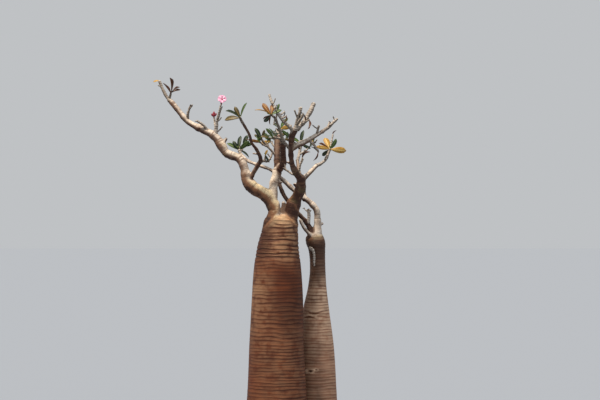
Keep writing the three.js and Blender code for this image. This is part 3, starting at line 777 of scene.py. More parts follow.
lines = geometry(sweep_tree, "MeshToCurve", {"Mesh": given["Geometry"]})
radius = geometry(sweep_tree, "InputNamedAttribute", {"Name": "radius"}, data_type="FLOAT")
reach = add_node(sweep_tree, "GeometryNodeSplineParameter").outputs["Length"]
even_turns = maths(sweep_tree, "DIVIDE", reach, given["Ring gap"])
ring_turns = maths(sweep_tree, "MULTIPLY_ADD", seeded_noise(RING_WANDER), 3.0, even_turns)
wave = maths(sweep_tree, "PINGPONG", ring_turns, 1.0)
ridge = maths(sweep_tree, "POWER", wave, RING_SHARPNESS)
swell = maths(sweep_tree, "MULTIPLY_ADD", ridge, given["Ring depth"], 1.0)
girth = times(sweep_tree, swell, radius)
kept = geometry(sweep_tree, "StoreNamedAttribute", {"Geometry": lines, "Name": "crest", "Value": wave},
                data_type="FLOAT", domain="POINT")
circle = geometry(sweep_tree, "CurvePrimitiveCircle", {"Resolution": given["Sides"], "Radius": 1.0})
skin = geometry(sweep_tree, "CurveToMesh",
                {"Curve": kept, "Profile Curve": circle, "Scale": girth, "Fill Caps": True})
lumps = seeded_noise(maths(sweep_tree, "DIVIDE", 1.0, given["Lump size"]))
height = times(sweep_tree, maths(sweep_tree, "SUBTRACT", lumps, 0.5), given["Lump depth"])
outward = geometry(sweep_tree, "InputNormal")
push = add_node(sweep_tree, "ShaderNodeVectorMath", {0: outward, "Scale": height}, operation="SCALE")
moved = geometry(sweep_tree, "SetPosition", {"Geometry": skin, "Offset": push.outputs[0]})
real = geometry(sweep_tree, "RealizeInstances", {"Geometry": moved})
smooth = geometry(sweep_tree, "SetShadeSmooth", {"Geometry": real})
painted = geometry(sweep_tree, "SetMaterial", {"Geometry": smooth, "Material": given["Material"]})
sweep_tree.links.new(painted, result.inputs[0])
print("sweeping tree nodes:", len(sweep_tree.nodes))

# %% Lines with round ends
DOME_ANGLES = np.radians([0, 18, 36, 52, 66, 78, 86])


def round_end(line):
    """The line with its end closed in over a dome as long as the end's radius."""
    tip = line[-1]
    way = ways(line)[-1]
    keep = line[: max(2, len(line) - max(1, round(tip[3] / LINE_STEP)))]
    keep = keep[np.linalg.norm(keep[:, :3] - tip[:3], axis=1) > tip[3] * 1.05] if len(keep) > 3 else keep
    back = 1 - np.sin(DOME_ANGLES)
    dome = np.column_stack([tip[:3] - np.outer(back, way * tip[3]), tip[3] * np.cos(DOME_ANGLES)])
    return np.vstack([keep, dome])


def lines_mesh(name, lines):
    """All the lines as edges of one mesh, with their radius stored."""
    rows = np.vstack(lines)
    edges = []
    first = 0
    for line in lines:
        edges += [(first + i, first + i + 1) for i in range(len(line) - 1)]
        first += len(line)
    mesh = plain_mesh(name, rows[:, :3], edges=edges)
    store(mesh, "radius", rows[:, 3])
    return mesh


print("a domed line of", len(round_end(line_through([(0, 0, 0, 10), (50, 0, 100, 8)]))), "rows")

# %% [markdown]
# ## The limbs and their forks
# Limbs of this tree flow into each other: at a fork there is no seam, only a swollen armpit. Tubes
# pushed into one another would show hard creases, so each clump of limbs is swept, remeshed into
# one skin, and then every corner is moved onto a smooth union of the limbs: the distance to each
# limb's own line, blended softly where two are near. Leaf rings, knuckles and lumps are added last,
# along each limb's own line, so that rings stay square to it.

# %% Where the limbs run
MAIN_LIMBS = {
    "left_bough": [
        (-44, -22, 1212, 30),
        (-46, -24, 1262, 39),
        (-31, -20, 1304, 39),
        (-23, -13, 1336, 37),
        (-20, -6, 1364, 37),
        (-68, -10, 1450, 37),
        (-136, -15, 1494, 39),
        (-180, -13, 1537, 33),
        (-205, 0, 1631, 25),
        (-236, 12, 1681, 27),
        (-316, 25, 1717, 26),
        (-345, 31, 1762, 29),
        (-384, 40, 1817, 25),
        (-446, 55, 1854, 23),
        (-558, 95, 1916, 18.5),
        (-632, 120, 2003, 18),
        (-679, 135, 2058, 14),
    ],
    "right_bough": [
        (80, -14, 1236, 30),
        (80, -18, 1282, 43),
        (95, -18, 1345, 39),
        (104, -28, 1400, 40),
        (130, -50, 1457, 32),
        (151, -75, 1505, 31),
        (146, -105, 1555, 25),
        (118, -135, 1590, 22),
        (99, -170, 1631, 18),
        (90, -205, 1674, 16),
        (85, -250, 1742, 15),
    ],
    "middle_bough": [
        (-27, -2, 1400, 32),
        (-23, 18, 1488, 27),
        (-19, 35, 1531, 27),
        (-6, 50, 1575, 27),
        (6, 60, 1630, 25),
    ],
    "inner_limb": [
        (-176, -15, 1530, 18),
        (-146, -25, 1593, 14),
        (-118, -38, 1642, 14),
        (-101, -50, 1674, 13),
        (-124, -78, 1736, 10),
        (-155, -105, 1778, 9),
        (-167, -135, 1823, 8.5),
        (-211, -180, 1903, 8),
    ],
    "cut_limb": [(4, 58, 1612, 22), (0, 88, 1690, 20), (0, 138, 1760, 19), (3, 196, 1826, 18)],
    "front_limb": [(8, 52, 1610, 22), (36, 25, 1650, 20), (38, -30, 1715, 19), (37, -78, 1786, 17)],
    "right_spread": [
        (84, -246, 1730, 14),
        (124, -243, 1761, 17),
        (161, -233, 1776, 16),
        (198, -220, 1795, 14),
        (242, -200, 1823, 13),
        (284, -183, 1848, 11),
    ],
    "front_fork": [(85, -248, 1730, 14), (90, -265, 1798, 18), (99, -280, 1829, 20), (116, -290, 1860, 17)],
    "lower_right_limb": [
        (150, -92, 1540, 18),
        (180, -84, 1572, 14),
        (205, -70, 1597, 14),
        (248, -35, 1643, 13),
    ],
    "fork_knob": [(44, -4, 1300, 26), (42, -10, 1350, 20), (41, -14, 1392, 14), (41, -15, 1418, 11)],
}
SECOND_LIMBS = {
    "second_bough": [
        (250, 128, 1164, 34),
        (251, 131, 1228, 26),
        (251, 136, 1302, 21),
        (243, 129, 1366, 21),
        (198, 125, 1417, 17),
        (105, 118, 1488, 14),
        (25, 113, 1562, 13),
        (-40, 114, 1614, 10.5),
        (-130, 130, 1648, 9.5),
        (-190, 165, 1675, 9.3),
        (-236, 205, 1722, 8.5),
    ],
    "back_limb": [
        (232, 138, 1168, 28),
        (192, 122, 1272, 16),
        (150, 116, 1322, 14),
        (95, 124, 1385, 13),
        (40, 146, 1460, 12.5),
        (8, 185, 1550, 12),
        (2, 245, 1640, 11),
        (12, 310, 1715, 10),
    ],
    "back_right_limb": [
        (170, 123, 1430, 15),
        (160, 168, 1510, 13),
        (138, 235, 1595, 12),
        (126, 300, 1680, 10),
    ],
    "low_stub": [(224, 122, 1176, 17), (196, 96, 1218, 12), (170, 84, 1250, 11), (141, 76, 1308, 9)],
}
# A limb that was split into several solids, by the first one's name.
SPLIT_LIMBS = {
    "left_bough": ["left_bough", "left_bough_middle", "left_bough_outer"],
    "right_bough": ["right_bough", "right_bough_upper"],
    "inner_limb": ["inner_limb", "inner_limb_upper"],
    "second_bough": ["second_bough", "crossing_limb", "left_reach"],
}
FLAT_ENDED = "cut_limb"
limb_lines = {name: line_through(s) for name, s in {**MAIN_LIMBS, **SECOND_LIMBS}.items()}
print("limbs:", len(limb_lines), "total length", round(sum(map(length_of, limb_lines.values())), 2), "m")

# %% A smooth union of limbs
SOFTNESS = 0.34  # how far the joint of two limbs reaches, as a share of their radius
SOFT_RANGE = (0.002, 0.026)  # and its least and most, in metres
STEM_SOFTNESS = 0.6  # how much further it reaches where a limb joins a stem
FIRST_SOFTNESS = 0.006  # the reach with which the radius at a place is first read
TURN_GAIN = 5.0  # how soon surfaces that turn against each other are joined in full
SIDE_BY_SIDE = 0.12  # how softly they are joined where they do not, as a share of that


def near_limb(line, places):
    """For each place: its reach along a limb, the limb's radius, the distance and the way out."""
    centres, radii, way = line[:, :3], line[:, 3], ways(line)
    step = length_of(line) / (len(line) - 1)
    squares = (places**2).sum(1)[:, None] + (centres**2).sum(1) - 2 * places @ centres.T
    nearest = (np.sqrt(np.maximum(squares, 0)) - radii).argmin(1)
    out = places - centres[nearest]
    extra = (out * way[nearest]).sum(1)
    reach = np.clip(nearest * step + extra, 0, length_of(line))
    out -= way[nearest] * (reach - nearest * step)[:, None]
    radius = np.interp(reach, np.arange(len(line)) * step, radii)
    away = np.linalg.norm(out, axis=1)
    return reach, radius, away - radius, out / np.maximum(away, 1e-9)[:, None]


def near_stem(rows, places):
    """The same for a stem's top, whose rows are level rings that close at both ends."""
    height = np.clip(places[:, 2], rows[0, 2], rows[-1, 2])
    axis = np.column_stack([np.interp(height, rows[:, 2], rows[:, i]) for i in (0, 1)])
    out = places[:, :2] - axis
    span = np.maximum(np.linalg.norm(out, axis=1), 1e-9)
    outline = rows[:, [3, 2]]
    steps = np.diff(outline, axis=0)
    at = np.column_stack([span, places[:, 2]])
    share = ((at[:, None] - outline[:-1]) * steps).sum(2) / (steps**2).sum(1)
    share = np.clip(share, 0, 1)
    gap = at[:, None] - outline[:-1] - share[:, :, None] * steps
    nearest = np.linalg.norm(gap, axis=2).argmin(1)
    every = np.arange(len(places))
    square = np.column_stack([steps[:, 1], -steps[:, 0]])
    square /= np.linalg.norm(square, axis=1)[:, None]
    corner = np.vstack([square[0], square[:-1] + square[1:], square[-1]])
    corner /= np.linalg.norm(corner, axis=1)[:, None]
    part = share[every, nearest][:, None]
    side = corner[nearest] * (1 - part) + corner[nearest + 1] * part
    gap = gap[every, nearest]
    distance = np.linalg.norm(gap, axis=1) * np.sign((gap * side).sum(1))
    way = np.column_stack([out / span[:, None] * side[:, :1], side[:, 1]])
    return height - rows[0, 2], np.interp(height, rows[:, 2], rows[:, 3]), distance, way


def union_of(places, lines):
    """Signed distance to the softly joined limbs, the way out of them, and each limb's share.

    Limbs are joined the more softly the more their surfaces turn against each other, so that a
    fork is filled and two surfaces that run side by side are not swollen.
    """
    found = [near_stem(line, places) if i == 0 else near_limb(line, places) for i, line in enumerate(lines)]
    reach, radius, distance = (np.array([f[k] for f in found]) for k in range(3))
    way = np.array([f[3] for f in found])
    least = distance.min(0)
    shares = np.exp(-(distance - least) / FIRST_SOFTNESS)
    soft = np.clip(SOFTNESS * (shares * radius).sum(0) / shares.sum(0), *SOFT_RANGE)
    soft = soft * (1 + STEM_SOFTNESS * shares[0] / shares.sum(0))
    shares = np.exp(-(distance - least) / soft)
    shares = shares / shares.sum(0)
    agreed = np.linalg.norm((shares[:, :, None] * way).sum(0), axis=1)
    soft = soft * np.clip(TURN_GAIN * (1 - agreed), SIDE_BY_SIDE, 1)
    shares = np.exp(-(distance - least) / soft)
    surface = least - soft * np.log(shares.sum(0))
    shares = shares / shares.sum(0)
    way = (shares[:, :, None] * way).sum(0)
    way /= np.maximum(np.linalg.norm(way, axis=1), 1e-9)[:, None]
    return surface, way, shares, reach, radius


to_bough = near_limb(limb_lines["left_bough"], np.array([[0, 0, 1.4]]))[2]
print("from (0, 0, 1.4) to the left bough:", round(float(to_bough[0]), 3), "m")

# %% Rings and knuckles
RING_GAP = (0.010, 0.27)  # a ring's height: so many metres, and that share of the radius more
GAP_UNEVEN = (0.55, 1.50)  # how far that strays, as shares of it
RING_STRENGTH = (0.15, 1.0)
RING_BREADTH = 0.0034  # metres over which a ring's groove fades out
RING_DEPTH = 0.075  # a share of the limb's radius, as are the sizes of knuckles and lumps
KNUCKLE_SIZE = (0.07, 0.18)
FIRST_KNUCKLE = (0.03, 0.08)
KNUCKLE_GAP = (0.05, 0.13)
SUNK = 0.03  # how far the whole skin is drawn in, so that its relief stays near the radius


def ring_relief(places, reach, radius, seed):
    """Rings, knuckles and lumps of one limb: relief in metres, and height on the ring, 0 to 1."""
    draw = seeded(seed)
    top = reach.max() + 0.1
    rings = [-0.02]
    while rings[-1] < top:
        typical = np.interp(rings[-1], [0, top], [radius[reach.argmin()], radius[reach.argmax()]])
        rings.append(rings[-1] + (RING_GAP[0] + RING_GAP[1] * typical) * pick(draw, *GAP_UNEVEN))
    rings = np.array(rings)
    strength = np.array([pick(draw, *RING_STRENGTH) for _ in rings])
    level = reach + 0.22 * radius * noise(places, 0.05, seed % 97)
    below = np.clip(np.searchsorted(rings, level) - 1, 0, len(rings) - 2)
    low = (level - rings[below]) / RING_BREADTH
    high = (rings[below + 1] - level) / RING_BREADTH
    broken = np.clip(0.8 + 0.6 * noise(places, 0.05, seed % 89 + 1), 0.25, 1)
    groove = broken * (strength[below] * np.exp(-low) + strength[below + 1] * np.exp(-high))
    relief = -RING_DEPTH * groove
    knuckle = pick(draw, *FIRST_KNUCKLE)
    while knuckle < top:
        size = pick(draw, *KNUCKLE_SIZE)
        relief += size * np.exp(-(((reach - knuckle) / (0.6 * radius + 0.004)) ** 2))
        knuckle += pick(draw, *KNUCKLE_GAP)
    relief += 0.11 * noise(places, 0.045, seed % 83 + 2)
    relief += 0.05 * noise(places, 0.015, seed % 79 + 3)
    return (relief - SUNK) * radius, np.clip(1 - groove, 0, 1)


print("rings of a limb 20 mm in radius:", round(RING_GAP[0] + RING_GAP[1] * 0.02, 4), "m apart")

# %% [markdown]
# A stem's top is part of the same union: level rings that close over in a dome between the limbs, so their
# feet flow down into the stem with no edge. Limbs of this tree keep the worn stubs of the twigs that they
# shed, and these are short lines of their own. What a limb's finish reads is stored last: its rings, how
# far it faces upwards, and how much painted shade the crown above it casts, from which the finish paints
# light from above and shade beneath.

# %% Stem tops and stubs
MAIN_DOME = (1.336, 0.100)  # a stem's height between its limbs, and how far down its dome reaches
SECOND_DOME = (1.226, 0.075)
SEAM = 0.030  # how far below a stem's top the limbs' skin comes out of it
FOOT = 0.030  # how far below the seam that skin ends, inside the stem
FOOT_TAPER = 0.020  # how much slimmer than the stem it is there
STUB_PLACES = {"left_bough": (0.36, 0.5, 0.6, 0.72), "middle_bough": (0.55,), "second_bough": (0.12, 0.34),
               "right_bough": (0.45, 0.8), "inner_limb": (0.45, 0.7), "back_limb": (0.4, 0.7)}
STUB_LENGTH = (0.020, 0.034)
STUB_RADIUS = 0.011


def top_rows(stations, top, dome):
    """Level rings of a stem's top: from inside the stem, out at the seam, up and over its dome."""
    line = line_through(stations)
    seam = top - SEAM
    apex, shoulder = dome
    sides = np.linspace(seam, apex - shoulder, round((apex - shoulder - seam) / LINE_STEP), endpoint=False)
    levels = np.append(sides, apex - shoulder * (1 - np.sin(DOME_ANGLES)))
    rows = np.column_stack([np.interp(levels, line[:, 2], line[:, i]) for i in (0, 1)] + [levels, levels])
    rows[:, 3] = np.interp(levels, line[:, 2], line[:, 3])
    rows[-len(DOME_ANGLES) :, 3] *= np.cos(DOME_ANGLES)
    rows[-1, 3] = 0.0
    # Two rows close the foot: its rim, and its middle a hair lower.
    foot = rows[[0, 0]] - [0, 0, FOOT, FOOT_TAPER]
    foot[0, 3] = 0.0
    foot[0, 2] -= 0.0001
    return np.vstack([foot, rows])


def stubs_on(limb, draw):
    """Short worn stubs, set into a limb and turned up, as lines of their own."""
    line = limb_lines[limb]
    stubs = []
    for share in STUB_PLACES.get(limb, ()):
        row = along(line, share)
        on = ways(line)[round(share * (len(line) - 1))]
        side = np.cross(on, [draw() - 0.5, 1.0, draw() - 0.5]) * (1 if draw() < 0.5 else -1)
        side = side / np.linalg.norm(side) + on * 0.5
        side[2] = abs(side[2])
        side /= np.linalg.norm(side)
        length = row[3] + pick(draw, *STUB_LENGTH)
        radius = min(STUB_RADIUS, 0.45 * row[3])
        stations = [[*(row[:3] + side * length * s), radius * (1 - 0.2 * s)] for s in (0, 0.5, 1)]
        stubs.append(line_through(1000 * np.array(stations)))
    return stubs


main_top = top_rows(MAIN_STEM, MAIN_STEM_TOP, MAIN_DOME)
second_top = top_rows(SECOND_STEM, SECOND_STEM_TOP, SECOND_DOME)
print("rows of the stems' tops:", len(main_top), len(second_top))

# %% Bark on the limbs
# Painted shade per limb: limbs that the crown shades are painted darker than the others, and those below
# zero paler, as painted sunlight.
SHADE = {
    "right_bough": 0.45,
    "cut_limb": 0.8,
    "front_limb": 0.5,
    "middle_bough": -0.1,
    "back_limb": 0.5,
    "back_right_limb": 0.4,
    "low_stub": -0.35,
    "second_bough": -0.3,
    "front_fork": 0.3,
    "inner_limb": 0.3,
    "right_spread": -0.25,
}
# Limbs that rise from a stem, and the side of their feet that is painted with shadow: left, or all round.
ROOTED = {"left_bough": -1, "right_bough": 0, "back_limb": 0}
ROOT_SHADE = 0.7  # how much painted shadow darkens their feet, and over which length
ROOT_REACH = 0.095
RING_SEED = 300


def limb_bark(places, names, union, folds, seed):
    """Each corner's relief, its height on ring or fold, and its painted shade, mixed by the limbs' shares.
    """
    _, way, shares, reach, radius = union
    height, crest = fold_relief(places, folds, seed)
    relief = shares[0] * (height + stem_lumps(places, seed))
    crest = shares[0] * crest
    shade = np.zeros(len(places))
    for i, limb in enumerate(names[1:], start=1):
        height, ring = ring_relief(places, reach[i], radius[i], RING_SEED + 17 * i + len(limb))
        relief += shares[i] * height
        crest += shares[i] * ring
        # Painted shade, or painted sunlight below zero, of each limb as listed in SHADE.
        shade += shares[i] * SHADE.get(limb.split("_stub_")[0], 0)
        # Painted shadow on the feet of the limbs that rise from a stem.
        if limb in ROOTED:
            shadowed_side = np.clip(0.55 + 1.2 * ROOTED[limb] * way[:, 0], 0, 1) if ROOTED[limb] else 1
            shade += shares[i] * shadowed_side * ROOT_SHADE * np.clip(2 - reach[i] / ROOT_REACH, 0, 1)
    return relief, crest, shade


def cut_flat(places, line, share):
    """Brings the corners past a limb's end back onto its cut, and tells which they are."""
    end, on = line[-1, :3], ways(line)[-1]
    past = np.where(share > 0.9, np.maximum((places - end) @ on, 0), 0)
    return places - on * past[:, None], (past > 0).astype(float)


print("shaded limbs:", sum(shade > 0 for shade in SHADE.values()))

# %% Make the limbs
VOXEL = 0.0036  # the skin's faces are about this wide
PROJECTIONS = 3  # how often each corner is moved towards the union's surface
SKIN_SWEEP = {"Sides": 20, "Ring gap": 0.05, "Ring depth": 0.0, "Lump size": 0.05, "Lump depth": 0.0}
STUB_SEED = 7
THIN_LIMB = 0.026  # radii between which a limb's finish turns from a thin limb's to a thick one's
THICK_LIMB = 0.036


def shortened(line):
    """The line without the last stretch that its own round end takes up."""
    cut = round(line[-1, 3] / LINE_STEP)
    return line[: len(line) - cut] if len(line) > cut + 4 else line


def rough_skin(name, tubes):
    """Tubes along the lines, remeshed into one skin that has no bark yet."""
    piece = run_tree(name, lines_mesh(name, tubes), sweep_tree, SKIN_SWEEP)
    remesh = piece.modifiers.new("skin", "REMESH")
    remesh.mode = "VOXEL"
    remesh.voxel_size = VOXEL
    return bake(piece)


def corners_of(mesh):
    places = np.empty(len(mesh.vertices) * 3)
    mesh.vertices.foreach_get("co", places)
    return places.reshape(-1, 3)


def limb_skin(name, limbs, stem_top, folds, seed, finish):
    """A stem's top and its limbs as one piece: swept, remeshed, moved onto their union, barked."""
    draw = seeded(seed + STUB_SEED)
    stubs = {f"{limb}_stub_{i}": stub for limb in limbs for i, stub in enumerate(stubs_on(limb, draw))}
    lines = {"stem_top": stem_top, **{limb: limb_lines[limb] for limb in limbs}, **stubs}
    open_ended = ("stem_top", FLAT_ENDED)
    tubes = [line if limb in open_ended else round_end(line) for limb, line in lines.items()]
    tubes[0] = stem_top[1:-1]
    solved = [line if limb in open_ended else shortened(line) for limb, line in lines.items()]
    piece = rough_skin(name, tubes)
    mesh = piece.data
    places = corners_of(mesh)
    for _ in range(PROJECTIONS):
        surface, way = union_of(places, solved)[:2]
        places = places - way * surface[:, None]
    union = union_of(places, solved)
    surface, way, shares, _, radius = union
    relief, crest, shade = limb_bark(places, list(lines), union, folds, seed)
    cut = np.zeros(len(places))
    if FLAT_ENDED in lines:
        at = list(lines).index(FLAT_ENDED)
        places, cut = cut_flat(places, solved[at], shares[at])
    places = places + way * (relief * (1 - cut))[:, None]
    mesh.vertices.foreach_set("co", places.ravel())
    mesh.update()
    girth = np.clip(((shares * radius).sum(0) - THIN_LIMB) / (THICK_LIMB - THIN_LIMB), 0, 1)
    stem = np.clip(shares[0] * 1.4 - 0.2, 0, 1)
    # Painted light from above and painted shade beneath: the bark's upward facing, less its painted shade.
    store_bark(mesh, places, folds, crest, stem, way[:, 2] - shade, girth, cut)
    mesh.materials.clear()
    mesh.materials.append(finish)
    mesh.shade_smooth()
    nodes = [node for limb in limbs for node in SPLIT_LIMBS.get(limb, [limb])]
    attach(piece, "root")
    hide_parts(*nodes)
    print(name, "faces:", len(mesh.polygons), "left to move", round(float(np.abs(surface).max()), 5))
    return piece


limb_skin("main_limbs_bark", MAIN_LIMBS, main_top, MAIN_FOLDS, MAIN_SEED, main_bark)
limb_skin("second_limbs_bark", SECOND_LIMBS, second_top, SECOND_FOLDS, SECOND_SEED, second_bark)

# %% [markdown]
# ## The ends of the crown
# Past the limbs the crown is a handful of stubby twigs, most of them bare, some with a rosette of
# leathery leaves, a few with dried leaves, and one with an open flower. Scattering twigs over the
# limbs at random would not give this crown, because its gaps are as much its likeness as its
# twigs. So each end has a row of its own and grows by the rule that its solid follows: a stem,
# side twigs with a share of the stem, a lean and a turn to the back, a few seeded twiglets, and
# leaves round an end. Finer spurs are then carried on from all of these, in the same space.

# %% The ends, one row each
# Name, seed, stem, side twigs (share, lean, back, length, radius), number of twiglets, and leaves
# (kind, lean, length, and the twig that they end, or none for the stem). Millimetres and degrees.
ENDS = [
    ("far_left_tip", 3, [(-672, 132, 2046, 11), (-701, 148, 2089, 9.5), (-725, 160, 2139, 8.5),
     (-741, 165, 2174, 7.5)], [(0.08, 24, -20, 44, 8)], 1,
     [("yellow", -95, 42), ("dried", 8, 118, 0), ("dried", 36, 96, 0), ("dried", -30, 86, 0),
      ("dried", 62, 70, 0)]),
    ("far_left_twig", 5, [(-558, 94, 1920, 10), (-553, 84, 1978, 7.5), (-536, 74, 2020, 5.5)], [], 1, []),
    ("left_stub", 7, [(-424, 50, 1848, 10), (-456, 34, 1888, 8), (-500, 20, 1920, 6.5)], [], 1, []),
    ("flower_twigs", 9, [(-384, 40, 1822, 13), (-374, 26, 1902, 10), (-358, 6, 1968, 7.5),
     (-346, -12, 2018, 6)], [(0.2, -12, 24, 92, 7), (0.1, 52, 12, 60, 5.5)], 2, []),
    ("left_leaves", 11, [(-231, 200, 1714, 9), (-242, 214, 1742, 8.5)], [(0.3, 30, 38, 54, 6)], 1,
     [("dark", 3, 108), ("green", -56, 92), ("dark", -34, 72), ("green", 51, 92), ("dark", 107, 88),
      ("dark", 20, 84, 0), ("green", 70, 70, 0)]),
    ("inner_leaves", 13, [(-207, -176, 1896, 8.5), (-224, -190, 1930, 7.5)], [], 1,
     [("dark", -49, 116), ("olive", -27, 84), ("green", 18, 106), ("olive", -88, 108)]),
    ("inner_side_twigs", 17, [(-104, -48, 1662, 11), (-84, -42, 1668, 9), (-60, -34, 1664, 7),
     (-38, -28, 1690, 6), (-27, -20, 1726, 5)], [(0.25, 8, -20, 40, 6)], 1,
     [("yellow", 17, 40, 0), ("dark", 150, 46, 0)]),
    ("middle_leaves", 19, [(-8, 96, 1702, 9), (-37, 90, 1736, 7.5), (-64, 80, 1764, 7),
     (-100, 66, 1808, 6.5)], [(0.55, -70, -24, 60, 6)], 2,
     [("dark", -28, 82), ("olive", -62, 60), ("orange", -76, 68, 0), ("olive", 24, 62),
      ("green", -20, 60, 0)]),
    ("front_leaves", 23, [(40, -74, 1776, 12), (22, -98, 1803, 8.5), (-8, -122, 1808, 7.5),
     (-22, -136, 1812, 7)], [(0.8, -98, -10, 44, 6)], 2,
     [("green", -62, 104), ("green", -38, 80), ("green", -112, 62), ("dark", 40, 60),
      ("olive", -74, 56, 0)]),
    ("top_front_leaves", 29, [(76, -250, 1744, 10), (40, -270, 1790, 9.5), (25, -285, 1835, 9),
     (6, -310, 1891, 8), (-14, -332, 1928, 7), (-34, -343, 1944, 6)],
     [(0.8, 8, 12, 60, 6), (0.86, -172, -10, 44, 5)], 2,
     [("yellow", -50, 112), ("orange", -38, 100), ("orange", 8, 90), ("dark", -140, 84),
      ("dried", -160, 66), ("green", 16, 48, 0), ("green", 60, 74), ("dried", -112, 58)]),
    ("top_arc", 31, [(99, -284, 1830, 11), (87, -300, 1862, 10), (43, -318, 1906, 10), (3, -322, 1959, 9),
     (-31, -302, 2024, 8), (-46, -284, 2070, 6.5)], [(0.42, 76, -30, 38, 6), (0.5, 66, 30, 48, 6)], 3,
     [("dried", 176, 46, 0), ("dried", 168, 40, 1)]),
    ("upper_twigs", 37, [(114, -292, 1852, 14), (130, -312, 1916, 12), (152, -330, 1990, 8)],
     [(0.22, 38, -34, 92, 10), (0.5, -28, -28, 64, 6)], 4, [("dried", 150, 52, 0)]),
    ("ringed_twig", 41, [(124, -282, 1856, 14), (167, -262, 1906, 15), (204, -240, 1962, 14),
     (232, -214, 2020, 12)], [(0.3, 78, -20, 40, 6)], 3, [("dried", 168, 66, 0)]),
    ("right_tip", 43, [(278, -186, 1844, 11), (316, -170, 1872, 9.5), (344, -158, 1899, 8.5),
     (374, -144, 1928, 7)], [(0.3, 24, 40, 58, 6)], 2, []),
    ("right_upright_twig", 47, [(243, -200, 1820, 9), (250, -204, 1850, 7), (258, -206, 1884, 6)],
     [], 1, []),
    ("right_hanging_twig", 53, [(200, -222, 1792, 9), (226, -236, 1764, 7.5), (254, -244, 1724, 6.5)],
     [], 1, [("dried", 178, 70)]),
    ("right_leaves", 59, [(244, -38, 1639, 12), (273, -20, 1653, 9.5), (298, 0, 1674, 9),
     (315, 12, 1703, 8.5), (329, 25, 1742, 7.5)], [(0.9, 14, 30, 124, 6.5)], 2,
     [("yellow", -21, 106), ("yellow", -78, 92), ("dried", -56, 84), ("green", 37, 84),
      ("yellow", 93, 114), ("dark", -128, 78), ("dried", 22, 36, 0)]),
    ("lower_side_twig", 61, [(130, -128, 1585, 8), (144, -128, 1638, 6), (158, -124, 1688, 5)], [], 1,
     [("dried", 16, 80)]),
    ("fork_twigs", 67, [(132, -128, 1578, 8), (96, -118, 1586, 6.5), (68, -108, 1604, 6),
     (42, -98, 1618, 5.5)], [(0.45, -58, 10, 56, 5)], 1, []),
    ("low_pale_twig", 71, [(194, 118, 1284, 11), (198, 110, 1322, 10), (196, 100, 1372, 8)], [], 1, []),
    ("hooked_twig", 89, [(222, 124, 1112, 9), (206, 92, 1128, 8), (220, 78, 1120, 8), (230, 76, 1080, 7.5),
     (230, 80, 1012, 6)], [], 0, []),
    ("cut_limb_leaves", 73, [(4, 190, 1812, 10), (14, 232, 1838, 8.5), (20, 272, 1874, 7.5)],
     [(0.4, -30, 40, 62, 6)], 2,
     [("dark", -40, 86), ("green", 20, 92), ("yellow", 74, 84), ("dark", -96, 80), ("green", 130, 70)]),
    ("back_leaves", 79, [(11, 306, 1710, 10), (4, 342, 1760, 8.5), (-14, 372, 1806, 7.5)],
     [(0.35, -50, 30, 84, 7), (0.6, 58, 24, 74, 6)], 3,
     [("dark", -64, 88), ("green", -14, 94), ("olive", 48, 84), ("dark", 110, 76), ("green", -40, 80, 0),
      ("yellow", -100, 74, 0), ("dark", 30, 84, 1), ("olive", 92, 70, 1)]),
    ("back_right_leaves", 83, [(127, 296, 1674, 10), (140, 334, 1728, 8.5), (150, 352, 1784, 7.5)],
     [(0.4, 60, 16, 92, 7), (0.7, -46, 34, 70, 6)], 3,
     [("green", -52, 88), ("dark", 6, 96), ("yellow", 62, 84), ("dark", 118, 72), ("green", 20, 88, 0),
      ("dark", 96, 76, 0), ("olive", -70, 74, 1)]),
]
print("ends:", len(ENDS), "leaves:", sum(len(row[5]) for row in ENDS))

# %% Ways and side twigs
TWIG_LIFT = 0.35  # how far a side twig turns up towards its end
TWIG_TAPER = 0.72  # its end's radius, as a share of its foot's
UP = np.array([0, 0, 1.0])


def heading(lean, back):
    """A direction from its lean, right of upright, and its turn to the back, in degrees."""
    lean, back = math.radians(lean), math.radians(back)
    way = np.array([math.sin(lean), math.tan(back), math.cos(lean)])
    return way / np.linalg.norm(way)


def turned(way, axis, angle):
    """A direction turned round an axis."""
    return (way * math.cos(angle) + np.cross(axis, way) * math.sin(angle)
            + axis * (axis @ way) * (1 - math.cos(angle)))


def side_twig(start, way, length, radius):
    """A twig that sets off one way and turns up towards its end."""
    middle = start + way * length * 0.5
    lifted = way + UP * TWIG_LIFT
    end = middle + lifted / np.linalg.norm(lifted) * length * 0.5
    sizes = [radius * (1 - (1 - TWIG_TAPER) * share) for share in (0, 0.5, 1)]
    return line_through(1000 * np.array([[*p, r] for p, r in zip((start, middle, end), sizes)]))


print("30 degrees right of upright:", heading(30, 0).round(2))

# %% The growing rule
TWIGLET_PLACE = (0.35, 0.85)
TWIGLET_LEAN = 80
TWIGLET_BACK = 55
TWIGLET_LENGTH = (26, 52)
TWIGLET_RADIUS = 4.6
LEAF_ROOT = 0.006  # how deep a leaf's foot is set into its twig
LEAF_SPREAD = 35  # how far a leaf may turn to the front or back, in degrees
LEAF_TWIST = (25, 75)  # how far its face is turned about its length, in degrees
LEAF_TRIES = 8
LEAF_STRAY = 4  # how far from a twig's tip a leaf may be rooted, in millimetres
LEAF_CLEARANCE = 0.004


def is_clear(places, margin, taken):
    """Whether no place comes within margin of the limbs and twigs that are taken."""
    gaps = np.linalg.norm(places[:, None] - taken[None, :, :3], axis=2) - taken[:, 3]
    return gaps.min() > margin


